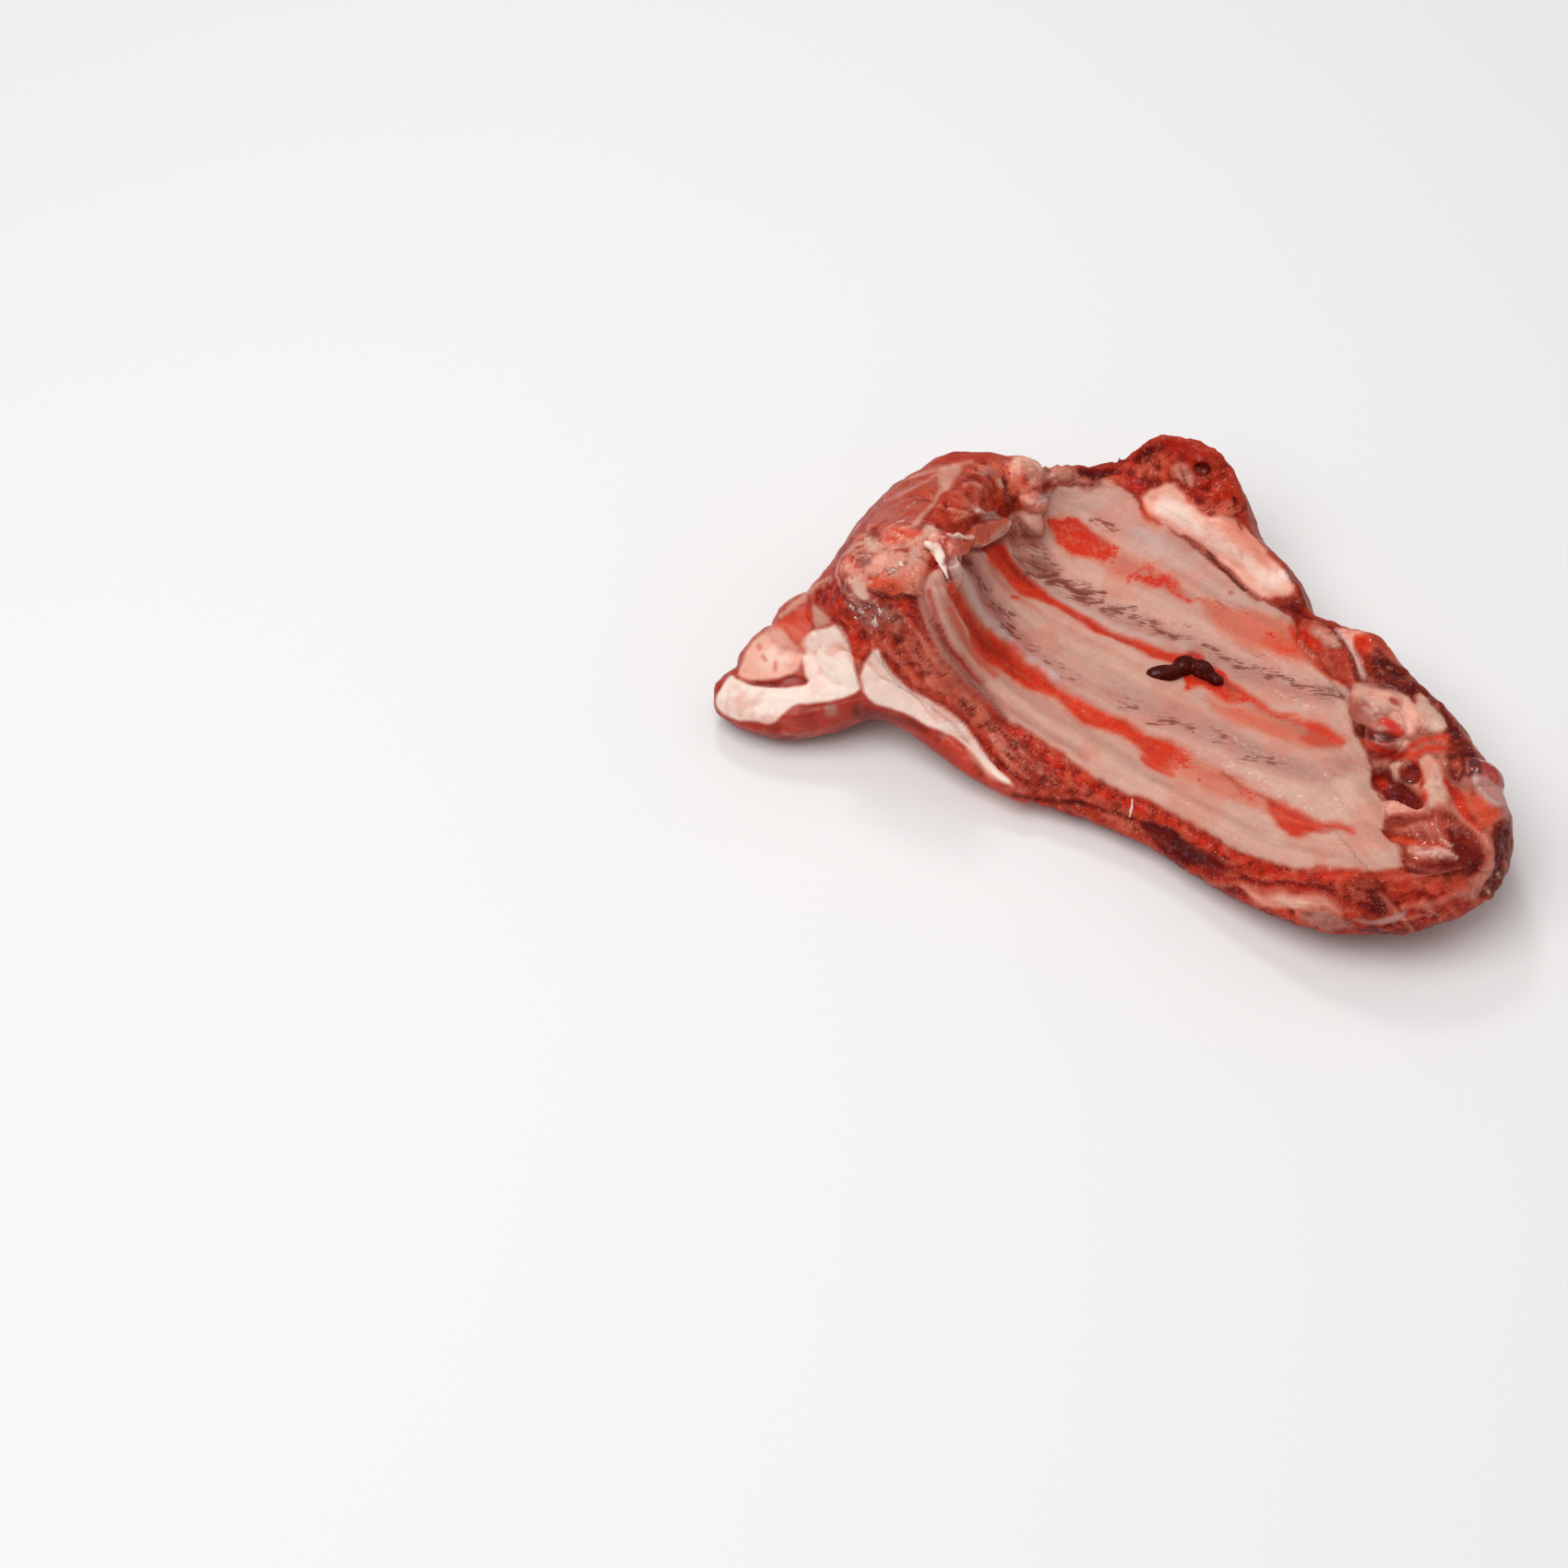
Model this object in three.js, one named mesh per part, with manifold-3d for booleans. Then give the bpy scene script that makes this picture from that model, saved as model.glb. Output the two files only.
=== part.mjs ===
import * as THREE from 'three';
import { mergeVertices } from 'three/addons/utils/BufferGeometryUtils.js';
import Module from 'manifold-3d';

const wasm = await Module();
wasm.setup();

// Raw lamb ribs: half a rib cage cut off along the spine, lying on its rounded back
// with the inside of the chest up. Sizes are in millimetres and Z is up.
// In plan, s runs along the ribs from the spine to the breast and t runs across them.

// The slab lies turned against X, and the origin is under the middle of its resting face.
const RIB_TURN = THREE.MathUtils.degToRad(35);
const REST_S = 40;
const REST_T = 32;

// The hollow of the chest: a low belly that climbs to the spine, the breast and the far side.
const BELLY_HEIGHT = 15;
const BREAST_RISE = 13;
const BREAST_RISE_SPAN = [55, 150];
const FAR_RISE = 7;
const FAR_RISE_SPAN = [45, 80];
const SPINE_SLOPE_LENGTH = 9;
const SPINE_SLOPE_POWER = 1.3;

// The crest over the spine, where the ribs start: [t, s, height].
const CREST = [
	[-10, 9, 44],
	[0, 6, 50],
	[12, 2, 49],
	[24, -3, 46],
	[36, -7, 42.5],
	[48, -10, 39],
	[60, -11, 35],
	[70, -8, 29.5],
	[82, 3, 27],
	[96, 10, 30],
];

// The loin behind the crest swells a little and then rolls down to the back.
const LOIN_SWELL = 4;
const LOIN_SWELL_AT = 13;
const LOIN_SWELL_REACH = 9;
const LOIN_ROLL = 0.016;

// Ribs under the lining of the chest, as low ridges: [t at the spine, t at the breast].
const RIBS = [
	[6, 4],
	[30, 28],
	[54, 50],
];
const RIB_RIDGE = 1.5;
const RIB_HALF_WIDTH = 5;
const RIB_RUN = [0, 120];
const RIBS_RISE_OVER = [8, 24];
const RIBS_FADE_OVER = [95, 118];

// The long fold beside the fat ridge: [s, t] where it starts, its lean and its size.
const FOLD_START = [25, 75];
const FOLD_LEAN = - 0.14;
const FOLD_DEPTH = 3.5;
const FOLD_HALF_WIDTH = 2.8;
const FOLD_OPENS_OVER = [22, 34];
const FOLD_CLOSES_OVER = [68, 80];

// Cut meat is uneven behind the crest, at the breast end and along the far side.
const ROUGH_HEIGHT = 0.9;
const ROUGH_GRAIN = 3.4;
const ROUGH_BEHIND_CREST = [-6, 4];
const ROUGH_BREAST = [92, 104];
const BREAST_LEAN = 0.4;
const BREAST_LEAN_FROM = 30;
const ROUGH_FAR = [70, 80];

// Rounded heaps on the upper face: [s, t, reach along s, reach along t, height].
const HEAPS = [
	// The dark red peak at the far corner.
	[16, 90, 11, 8, 11],
	[31, 90, 10, 8, 14.5],
	// The white fat ridge along the far side.
	[44, 77, 12, 5, 6],
	[58, 71, 11, 4.5, 5],
	// The knots of meat and gristle at the breast end.
	[76, 66, 5, 4, 3],
	[90, 65, 6, 5, 4],
	[101, 55, 7, 6, 4.5],
	[112, 50, 6, 5, 3.5],
	[124, 41, 7, 7, 4],
	[137, 33, 6, 6, 3.5],
	// The brown lumps between the loin and the peak.
	[-3, 70, 5, 5, 3.5],
	[6, 78, 4, 4, 2.5],
	// The lip of loin that hangs over the first rib heads.
	[-8, 33, 7, 8, 2.5],
];

// Dents in the upper face, written like the heaps.
const DENTS = [
	[107, 37, 5, 4, 3.5],
	[113, 29, 6, 3, 3],
	[119, 20, 7, 3, 2.5],
	[-3, 49, 4, 4, 4],
	[9, 84, 4, 3, 5],
];

// The brim, where the upper face turns down into the sides: [s, t, how far the side swells out].
const NEAR_BRIM = [
	[-27, -5, 6],
	[-17, -5, 4],
	[-6, -3, 5],
	[4, 0, 6],
	[14, 0, 8],
	[24, 0, 9],
	[38, 0, 9],
	[54, 0, 6],
	[70, 0, 4.5],
	[86, -1, 5.5],
	[102, -2, 6],
	[118, -1, 6],
	[133, 6, 6],
];
const BREAST_BRIM = [
	[133, 6, 6],
	[142, 17, 4.5],
	[143.5, 28, 4],
	[138.5, 38.5, 4.5],
	[128.5, 47.5, 6],
	[115, 56.5, 7],
	[98, 64, 7],
];
const FAR_BRIM = [
	[-12, 62, 10],
	[-4, 68, 9],
	[3, 77, 9],
	[11, 87, 8],
	[22, 90, 8],
	[36, 90, 7],
	[48, 82.5, 7],
	[59, 78, 7],
	[68, 71.5, 6],
	[78, 69, 5],
	[88, 69, 5],
	[98, 64, 7],
];
const SPINE_BRIM = [
	[-27, -5, 6],
	[-29, 4, 8],
	[-28, 14, 9],
	[-29, 26, 10],
	[-28, 38, 12],
	[-21, 50, 11],
	[-12, 62, 10],
];

// The sides tuck back under the swell, and the underside lifts off the table at the breast.
const SIDE_ROWS = 5;
const SIDE_TUCK = 8;
const SIDE_WIDEST = 0.7;
const UNDERSIDE_LIFT = 9;
const UNDERSIDE_LIFT_SPAN = [84, 150];

// How finely the slab is divided along and across the ribs.
const ALONG = 42;
const ACROSS = 22;
const CREST_COLUMN = 10;

// Gap between a bone, clot or fat piece and the pocket it sits in.
const FIT_GAP = 0.3;
const GROUND_BLOCK = 400;
const LUMP_UNEVEN = 0.06;
const LUMP_WAVES = 3.3;

// Rounded lumps: centre [s, t, z], half sizes [s, t, z], turn in plan in degrees.
// The fat lobe at the near end of the spine: its knobs, and the strip that starts at its tip
// and runs on into the meat as a seam: [s, t, z, half width, half height].
const FAT_KNOBS = [
	{ at: [-27, -11, 10], half: [14, 12.5, 10], turn: -10, detail: 3 },
	{ at: [-13, -7, 18], half: [9, 6, 6], turn: 0, detail: 2 },
	{ at: [-28, -3, 19], half: [9, 9, 7.5], turn: 30, detail: 2 },
];
const FAT_STRIP = [
	[-40, -27, 7.5, 2.5, 2.5],
	[-35, -23, 8, 8, 6],
	[-25, -17, 8.5, 11, 7.5],
	[-14, -11, 11, 9, 8],
	[-4, -7, 14.5, 5, 6],
	[6, -6, 12, 4, 4.5],
	[17, -7, 9.5, 3.4, 3.4],
	[29, -8, 7.5, 2.8, 2.6],
	[41, -8, 6.5, 1.8, 1.4],
];
const STRIP_STEPS = 20;
const STRIP_SIDES = 12;
const CHINE_BONE = [
	{ at: [-13, 2, 43], half: [9, 8, 7], turn: 20, detail: 2 },
	{ at: [-9, 12, 46], half: [7, 8, 6], turn: 0, detail: 2 },
	{ at: [-2, 14, 47], half: [6, 4, 5], turn: -30, detail: 2 },
	{ at: [4, 8, 48], half: [2.4, 3.6, 5], turn: 0, detail: 2 },
];
const RIB_HEAD_FAT = [
	{ at: [-8, 59, 31.6], half: [6, 5.6, 5], turn: 35, detail: 2 },
	{ at: [-3.5, 56.5, 27.5], half: [5, 4, 4.5], turn: 20, detail: 2 },
	{ at: [0, 53.5, 24.5], half: [3, 2.4, 3], turn: 0, detail: 2 },
];
const BREAST_GRISTLE = [
	{ at: [100, 49.5, 25], half: [6, 6, 4], turn: 0, detail: 2 },
	{ at: [105.5, 44.5, 24], half: [4.5, 5.5, 3.5], turn: 20, detail: 2 },
];
const BREAST_TIP = [
	{ at: [131.5, 41.5, 25.5], half: [5.5, 5, 5], turn: -20, detail: 2 },
	{ at: [136, 37, 24], half: [4.5, 4.5, 4.5], turn: 0, detail: 2 },
];
const BLOOD_CLOT = [
	{ at: [49.4, 36.8, 16], half: [4, 1.7, 1.5], turn: 35, detail: 2 },
	{ at: [52.2, 41.4, 16.4], half: [2.8, 2, 2.1], turn: 65, detail: 2 },
	{ at: [56.4, 42.8, 16.5], half: [3, 1.8, 1.9], turn: 0, detail: 2 },
	{ at: [60.4, 42.2, 16], half: [2.2, 1.1, 1.3], turn: 0, detail: 1 },
];

const smooth = ( from, to, x ) => THREE.MathUtils.smoothstep( x, from, to );
const hill = ( offset, reach ) => Math.exp( - ( ( offset / reach ) ** 2 ) );

// A point of the slab from its place along and across the ribs and its height.
function place( s, t, z ) {

	const along = s - REST_S;
	const across = t - REST_T;
	return new THREE.Vector3(
		along * Math.cos( RIB_TURN ) + across * Math.sin( RIB_TURN ),
		- along * Math.sin( RIB_TURN ) + across * Math.cos( RIB_TURN ),
		z
	);

}

// The uneven surface of cut meat, between -1 and 1.
function unevenness( s, t, grain ) {

	const broad = Math.sin( s / grain + 1.7 * Math.sin( t / grain ) );
	const fine = Math.sin( 2.3 * t / grain - 1.1 * Math.sin( 1.9 * s / grain ) );
	return 0.6 * broad + 0.4 * fine;

}

// A smooth curve through rows of three numbers.
function curveThrough( rows ) {

	return new THREE.CatmullRomCurve3( rows.map( ( row ) => new THREE.Vector3( ...row ) ) );

}

const CREST_STEPS = 200;
const crestPoints = curveThrough( CREST ).getPoints( CREST_STEPS );

// Where the crest lies at t, and its height there.
function crestAt( t ) {

	const next = crestPoints.findIndex( ( point ) => point.x > t );
	if ( next === 0 ) return crestPoints[ 0 ];
	if ( next < 0 ) return crestPoints[ CREST_STEPS ];
	const before = crestPoints[ next - 1 ];
	const share = ( t - before.x ) / ( crestPoints[ next ].x - before.x );
	return before.clone().lerp( crestPoints[ next ], share );

}

function ribRidges( s, t ) {

	let height = 0;
	for ( const [ tSpine, tBreast ] of RIBS ) {

		const middle = THREE.MathUtils.lerp( tSpine, tBreast, smooth( ...RIB_RUN, s ) );
		height += RIB_RIDGE * hill( t - middle, RIB_HALF_WIDTH );

	}

	return height * smooth( ...RIBS_RISE_OVER, s ) * ( 1 - smooth( ...RIBS_FADE_OVER, s ) );

}

// The fold between the lining of the chest and the fat ridge, from the peak to the breast end.
function farFold( s, t ) {

	const middle = FOLD_START[ 1 ] + FOLD_LEAN * ( s - FOLD_START[ 0 ] );
	const open = smooth( ...FOLD_OPENS_OVER, s ) * ( 1 - smooth( ...FOLD_CLOSES_OVER, s ) );
	return FOLD_DEPTH * hill( t - middle, FOLD_HALF_WIDTH ) * open;

}

// Height of the upper face over a place in plan.
function upperFace( s, t ) {

	const crest = crestAt( t );
	const fromCrest = s - crest.y;
	const belly = BELLY_HEIGHT
		+ BREAST_RISE * smooth( ...BREAST_RISE_SPAN, s )
		+ FAR_RISE * smooth( ...FAR_RISE_SPAN, t );
	let height;
	if ( fromCrest > 0 ) {

		const slope = Math.exp( - ( ( fromCrest / SPINE_SLOPE_LENGTH ) ** SPINE_SLOPE_POWER ) );
		height = belly + ( crest.z - belly ) * slope + ribRidges( s, t );

	} else {

		height = crest.z
			+ LOIN_SWELL * hill( - fromCrest - LOIN_SWELL_AT, LOIN_SWELL_REACH )
			- LOIN_ROLL * fromCrest * fromCrest;

	}

	for ( const [ hs, ht, reachS, reachT, rise ] of HEAPS ) {

		height += rise * hill( s - hs, reachS ) * hill( t - ht, reachT );

	}

	for ( const [ ds, dt, reachS, reachT, depth ] of DENTS ) {

		height -= depth * hill( s - ds, reachS ) * hill( t - dt, reachT );

	}

	const rough = Math.max(
		1 - smooth( ...ROUGH_BEHIND_CREST, fromCrest ),
		smooth( ...ROUGH_BREAST, s + BREAST_LEAN * ( t - BREAST_LEAN_FROM ) ),
		smooth( ...ROUGH_FAR, t )
	);
	return height - farFold( s, t ) + ROUGH_HEIGHT * rough * unevenness( s, t, ROUGH_GRAIN );

}

// Height of the underside: flat on the table, then lifting towards the breast.
function underside( s ) {

	return UNDERSIDE_LIFT * smooth( ...UNDERSIDE_LIFT_SPAN, s );

}

// Points along one side of the brim, with how far the side swells out there.
function brimPoints( stations, count ) {

	return curveThrough( stations ).getPoints( count );

}

// A sheet of points filled in between its four sides.
function fillBetween( near, far, spine, breast ) {

	const sheet = [];
	for ( let i = 0; i <= ALONG; i ++ ) {

		const u = i / ALONG;
		const column = [];
		for ( let j = 0; j <= ACROSS; j ++ ) {

			const v = j / ACROSS;
			const sides = near[ i ].clone().lerp( far[ i ], v ).add( spine[ j ].clone().lerp( breast[ j ], u ) );
			const nearLine = near[ 0 ].clone().lerp( near[ ALONG ], u );
			const farLine = far[ 0 ].clone().lerp( far[ ALONG ], u );
			column.push( sides.sub( nearLine.lerp( farLine, v ) ) );

		}

		sheet.push( column );

	}

	return sheet;

}

// The upper sheet with one of its lines drawn over to the crest, and its neighbours with it.
function followCrest( sheet ) {

	for ( let j = 1; j < ACROSS; j ++ ) {

		const held = sheet[ CREST_COLUMN ][ j ];
		const pull = ( crestAt( held.y ).y - held.x ) * Math.sin( Math.PI * j / ACROSS ) ** 0.5;
		for ( let i = 1; i < 3 * CREST_COLUMN; i ++ ) {

			const share = i < CREST_COLUMN ? i / CREST_COLUMN : ( 3 * CREST_COLUMN - i ) / ( 2 * CREST_COLUMN );
			sheet[ i ][ j ].x += pull * share;

		}

	}

	return sheet;

}

// The grid places round the edge of a sheet, once round.
function edgeRound() {

	const round = [];
	for ( let i = 0; i < ALONG; i ++ ) round.push( [ i, 0 ] );
	for ( let j = 0; j < ACROSS; j ++ ) round.push( [ ALONG, j ] );
	for ( let i = ALONG; i > 0; i -- ) round.push( [ i, ACROSS ] );
	for ( let j = ACROSS; j > 0; j -- ) round.push( [ 0, j ] );
	return round;

}

// A solid from points and triangles, with its faces turned outwards.
function toSolid( points, faces ) {

	let volume = 0;
	for ( const [ a, b, c ] of faces ) {

		volume += points[ a ].dot( points[ b ].clone().cross( points[ c ] ) );

	}

	const outward = volume > 0 ? faces : faces.map( ( [ a, b, c ] ) => [ a, c, b ] );
	const mesh = new wasm.Mesh( {
		numProp: 3,
		vertProperties: new Float32Array( points.flatMap( ( p ) => [ p.x, p.y, p.z ] ) ),
		triVerts: new Uint32Array( outward.flat() ),
	} );
	return new wasm.Manifold( mesh );

}

// The whole slab: the upper face, the swelling sides and the underside.
function makeSlab() {

	const near = brimPoints( NEAR_BRIM, ALONG );
	const far = brimPoints( FAR_BRIM, ALONG );
	const spine = brimPoints( SPINE_BRIM, ACROSS );
	const breast = brimPoints( BREAST_BRIM, ACROSS );
	const top = followCrest( fillBetween( near, far, spine, breast ) );
	const round = edgeRound();
	const brim = round.map( ( [ i, j ] ) => top[ i ][ j ] );
	const points = [];
	const faces = [];
	const add = ( s, t, z ) => points.push( place( s, t, z ) ) - 1;

	const topIndex = top.map( ( column ) => column.map( ( p ) => add( p.x, p.y, upperFace( p.x, p.y ) ) ) );

	// Each brim point goes out and down the side, square to the brim.
	const outward = brim.map( ( point, k ) => {

		const before = brim[ ( k + brim.length - 2 ) % brim.length ];
		const after = brim[ ( k + 2 ) % brim.length ];
		return new THREE.Vector2( after.y - before.y, before.x - after.x ).normalize();

	} );
	const sidePoint = ( k, share ) => {

		const point = brim[ k ];
		const swell = Math.sin( Math.PI / 2 * Math.min( 1, share / SIDE_WIDEST ) );
		const out = point.z * swell - SIDE_TUCK * smooth( SIDE_WIDEST, 1, share );
		return [ point.x + out * outward[ k ].x, point.y + out * outward[ k ].y ];

	};

	let row = round.map( ( [ i, j ] ) => topIndex[ i ][ j ] );
	const joinRows = ( upper, lower ) => {

		for ( let k = 0; k < upper.length; k ++ ) {

			const next = ( k + 1 ) % upper.length;
			faces.push( [ upper[ k ], lower[ k ], upper[ next ] ], [ upper[ next ], lower[ k ], lower[ next ] ] );

		}

	};

	for ( let r = 1; r < SIDE_ROWS; r ++ ) {

		const share = r / SIDE_ROWS;
		const lower = brim.map( ( point, k ) => {

			const [ s, t ] = sidePoint( k, share );
			return add( s, t, THREE.MathUtils.lerp( upperFace( point.x, point.y ), underside( s ), share ) );

		} );
		joinRows( row, lower );
		row = lower;

	}

	const foot = brim.map( ( point, k ) => new THREE.Vector3( ...sidePoint( k, 1 ), 0 ) );
	const footNear = foot.slice( 0, ALONG + 1 );
	const footBreast = foot.slice( ALONG, ALONG + ACROSS + 1 );
	const footFar = foot.slice( ALONG + ACROSS, 2 * ALONG + ACROSS + 1 ).reverse();
	const footSpine = [ ...foot.slice( 2 * ALONG + ACROSS ), foot[ 0 ] ].reverse();
	const bottom = fillBetween( footNear, footFar, footSpine, footBreast );
	const bottomIndex = bottom.map( ( column ) => column.map( ( p ) => add( p.x, p.y, underside( p.x ) ) ) );
	joinRows( row, round.map( ( [ i, j ] ) => bottomIndex[ i ][ j ] ) );

	for ( let i = 0; i < ALONG; i ++ ) {

		for ( let j = 0; j < ACROSS; j ++ ) {

			const [ [ a, d ], [ b, c ] ] = [ topIndex[ i ].slice( j ), topIndex[ i + 1 ].slice( j ) ];
			faces.push( [ a, b, c ], [ a, c, d ] );
			const [ [ e, h ], [ f, g ] ] = [ bottomIndex[ i ].slice( j ), bottomIndex[ i + 1 ].slice( j ) ];
			faces.push( [ e, g, f ], [ e, h, g ] );

		}

	}

	return toSolid( points, faces );

}

// A closed three.js shape as a solid.
function solidOf( geometry ) {

	const bare = geometry.clone();
	bare.deleteAttribute( 'normal' );
	bare.deleteAttribute( 'uv' );
	const merged = mergeVertices( bare );
	const position = merged.getAttribute( 'position' );
	const points = [];
	for ( let k = 0; k < position.count; k ++ ) {

		points.push( new THREE.Vector3().fromBufferAttribute( position, k ) );

	}

	const faces = [];
	const order = merged.getIndex().array;
	for ( let k = 0; k < order.length; k += 3 ) faces.push( [ order[ k ], order[ k + 1 ], order[ k + 2 ] ] );
	return toSolid( points, faces );

}

// One uneven lump, grown by a margin where it is used to cut a pocket.
function makeLump( { at, half, turn, detail }, margin ) {

	const shape = new THREE.IcosahedronGeometry( 1, detail );
	const position = shape.getAttribute( 'position' );
	const angle = THREE.MathUtils.degToRad( turn );
	for ( let k = 0; k < position.count; k ++ ) {

		const way = new THREE.Vector3().fromBufferAttribute( position, k );
		const swell = 1 + LUMP_UNEVEN * unevenness( LUMP_WAVES * way.x + at[ 0 ], LUMP_WAVES * way.y + at[ 1 ], 1 );
		const a = way.x * ( half[ 0 ] + margin ) * swell;
		const b = way.y * ( half[ 1 ] + margin ) * swell;
		const point = place(
			at[ 0 ] + a * Math.cos( angle ) - b * Math.sin( angle ),
			at[ 1 ] + a * Math.sin( angle ) + b * Math.cos( angle ),
			at[ 2 ] + way.z * ( half[ 2 ] + margin ) * swell
		);
		position.setXYZ( k, point.x, point.y, point.z );

	}

	return solidOf( shape );

}

// A rounded strip along a curve, thick and thin by turns, with a rounded point at both ends.
function makeStrip( stations, margin ) {

	const line = curveThrough( stations.map( ( station ) => station.slice( 0, 3 ) ) );
	const sizes = curveThrough( stations.map( ( station ) => [ ...station.slice( 3 ), 0 ] ) );
	const points = [ place( ...line.getPoint( 0 ) ), place( ...line.getPoint( 1 ) ) ];
	const faces = [];
	for ( let i = 0; i < STRIP_STEPS; i ++ ) {

		const share = ( i + 0.5 ) / STRIP_STEPS;
		const middle = line.getPoint( share );
		const size = sizes.getPoint( share );
		const along = line.getTangent( share );
		const across = new THREE.Vector2( - along.y, along.x ).normalize();
		const first = 2 + i * STRIP_SIDES;
		for ( let k = 0; k < STRIP_SIDES; k ++ ) {

			const angle = 2 * Math.PI * k / STRIP_SIDES;
			const out = ( size.x + margin ) * Math.cos( angle );
			const up = ( size.y + margin ) * Math.sin( angle );
			points.push( place( middle.x + out * across.x, middle.y + out * across.y, middle.z + up ) );
			const next = first + ( k + 1 ) % STRIP_SIDES;
			if ( i === 0 ) faces.push( [ 0, next, first + k ] );
			if ( i === STRIP_STEPS - 1 ) faces.push( [ 1, first + k, next ] );
			if ( i > 0 ) {

				faces.push( [ first + k - STRIP_SIDES, next - STRIP_SIDES, next ] );
				faces.push( [ first + k - STRIP_SIDES, next, first + k ] );

			}

		}

	}

	return toSolid( points, faces );

}

const makeLumps = ( lumps, margin ) => lumps
	.map( ( lump ) => makeLump( lump, margin ) )
	.reduce( ( whole, lump ) => whole.add( lump ) );

// A block that fills the space under the table's surface.
function groundBlock() {

	const block = new THREE.BoxGeometry( GROUND_BLOCK, GROUND_BLOCK, GROUND_BLOCK );
	block.translate( 0, 0, - GROUND_BLOCK / 2 );
	return solidOf( block );

}

function toMesh( solid, name, colour, roughness ) {

	const { vertProperties, triVerts } = solid.getMesh();
	const geometry = new THREE.BufferGeometry();
	geometry.setAttribute( 'position', new THREE.BufferAttribute( new Float32Array( vertProperties ), 3 ) );
	geometry.setIndex( new THREE.BufferAttribute( new Uint32Array( triVerts ), 1 ) );
	geometry.computeVertexNormals();
	const material = new THREE.MeshStandardMaterial( { color: colour, roughness, metalness: 0 } );
	const mesh = new THREE.Mesh( geometry, material );
	mesh.name = name;
	return mesh;

}

// The pieces that sit in pockets of the meat, each as a function of the margin round it.
const makeFatLobe = ( margin ) => makeStrip( FAT_STRIP, margin ).add( makeLumps( FAT_KNOBS, margin ) );
const fromLumps = ( lumps ) => ( margin ) => makeLumps( lumps, margin );
const INSET_PIECES = [
	{ name: 'fat_lobe', make: makeFatLobe, colour: 0xe6c4b0, roughness: 0.4 },
	{ name: 'chine_bone', make: fromLumps( CHINE_BONE ), colour: 0xd98f78, roughness: 0.45 },
	{ name: 'rib_head_fat', make: fromLumps( RIB_HEAD_FAT ), colour: 0xe0b8a6, roughness: 0.4 },
	{ name: 'breast_gristle', make: fromLumps( BREAST_GRISTLE ), colour: 0xd9a48c, roughness: 0.35 },
	{ name: 'breast_tip', make: fromLumps( BREAST_TIP ), colour: 0xcfa598, roughness: 0.3 },
	{ name: 'blood_clot', make: fromLumps( BLOOD_CLOT ), colour: 0x3a0a0c, roughness: 0.15 },
];

const ribs = new THREE.Group();
const ground = groundBlock();
let meat = makeSlab();
for ( const { name, make, colour, roughness } of INSET_PIECES ) {

	meat = meat.subtract( make( FIT_GAP ) );
	ribs.add( toMesh( make( 0 ).subtract( ground ), name, colour, roughness ) );

}

ribs.add( toMesh( meat, 'rib_slab', 0xa8483a, 0.35 ) );

export default ribs;
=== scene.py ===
"""Raw lamb ribs, lying on their outer side with the lined inner face up.

Each solid of the frame gets a fine skin: its surface is remeshed, carved along its normals and
coloured point by point. What lies where on the slab is written as areas and lines in the
photograph's frame, and the camera below turns every point of the skin into a place in that frame.
"""

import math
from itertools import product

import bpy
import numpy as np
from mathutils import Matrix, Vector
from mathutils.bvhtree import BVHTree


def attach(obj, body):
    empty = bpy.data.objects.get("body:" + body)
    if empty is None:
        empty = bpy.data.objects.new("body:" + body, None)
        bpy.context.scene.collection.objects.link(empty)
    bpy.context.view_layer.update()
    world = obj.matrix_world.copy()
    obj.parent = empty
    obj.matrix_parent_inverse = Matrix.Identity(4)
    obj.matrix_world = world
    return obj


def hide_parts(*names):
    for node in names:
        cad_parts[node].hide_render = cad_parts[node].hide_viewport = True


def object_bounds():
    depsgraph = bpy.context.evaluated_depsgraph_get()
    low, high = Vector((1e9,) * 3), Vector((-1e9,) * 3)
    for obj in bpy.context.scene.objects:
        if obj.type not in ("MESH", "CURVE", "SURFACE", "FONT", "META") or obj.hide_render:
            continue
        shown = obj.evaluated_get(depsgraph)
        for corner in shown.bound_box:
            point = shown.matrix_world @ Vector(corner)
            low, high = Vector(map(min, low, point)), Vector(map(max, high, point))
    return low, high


bl_info = {
    "name": "Raw Lamb Ribs",
    "version": (1, 0, 0),
    "blender": (4, 5, 0),
    "location": "View3D > Sidebar > Lamb Ribs",
    "description": "Gives a slab of raw lamb ribs its muscle, fat, bone and silver lining",
    "category": "Object",
}

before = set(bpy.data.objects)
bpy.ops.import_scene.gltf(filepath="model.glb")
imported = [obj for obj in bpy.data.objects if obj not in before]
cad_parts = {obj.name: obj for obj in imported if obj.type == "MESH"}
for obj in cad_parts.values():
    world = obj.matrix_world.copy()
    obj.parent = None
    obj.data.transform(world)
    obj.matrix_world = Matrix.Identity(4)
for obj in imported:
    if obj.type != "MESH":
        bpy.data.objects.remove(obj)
CAD_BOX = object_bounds()
MM = 0.001

# The wet shine adds this much light everywhere, which the painted colours leave out.
FIELD_SOFT = 5.0
CORNER_CUT = 0.25
SHINE_ADDS = 0.010
DARKEST_SHARE = 0.35

# The camera: a long lens that looks down on the slab, and the scale of its 1700 pixel frame.
ELEVATION = math.radians(50)
LENS_MM = 85.0
SENSOR_MM = 36.0
FRAME_PX = 1700
PX_PER_MM = 4.5
FOCAL_PX = LENS_MM / SENSOR_MM * FRAME_PX
DISTANCE = FOCAL_PX / PX_PER_MM * MM
AIM = np.array((-0.0822, -0.0288, 0.0066))
RIGHT = np.array((1.0, 0.0, 0.0))
UP = np.array((0.0, math.sin(ELEVATION), math.cos(ELEVATION)))
SIGHT = np.array((0.0, math.cos(ELEVATION), -math.sin(ELEVATION)))
EYE = AIM - DISTANCE * SIGHT

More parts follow.
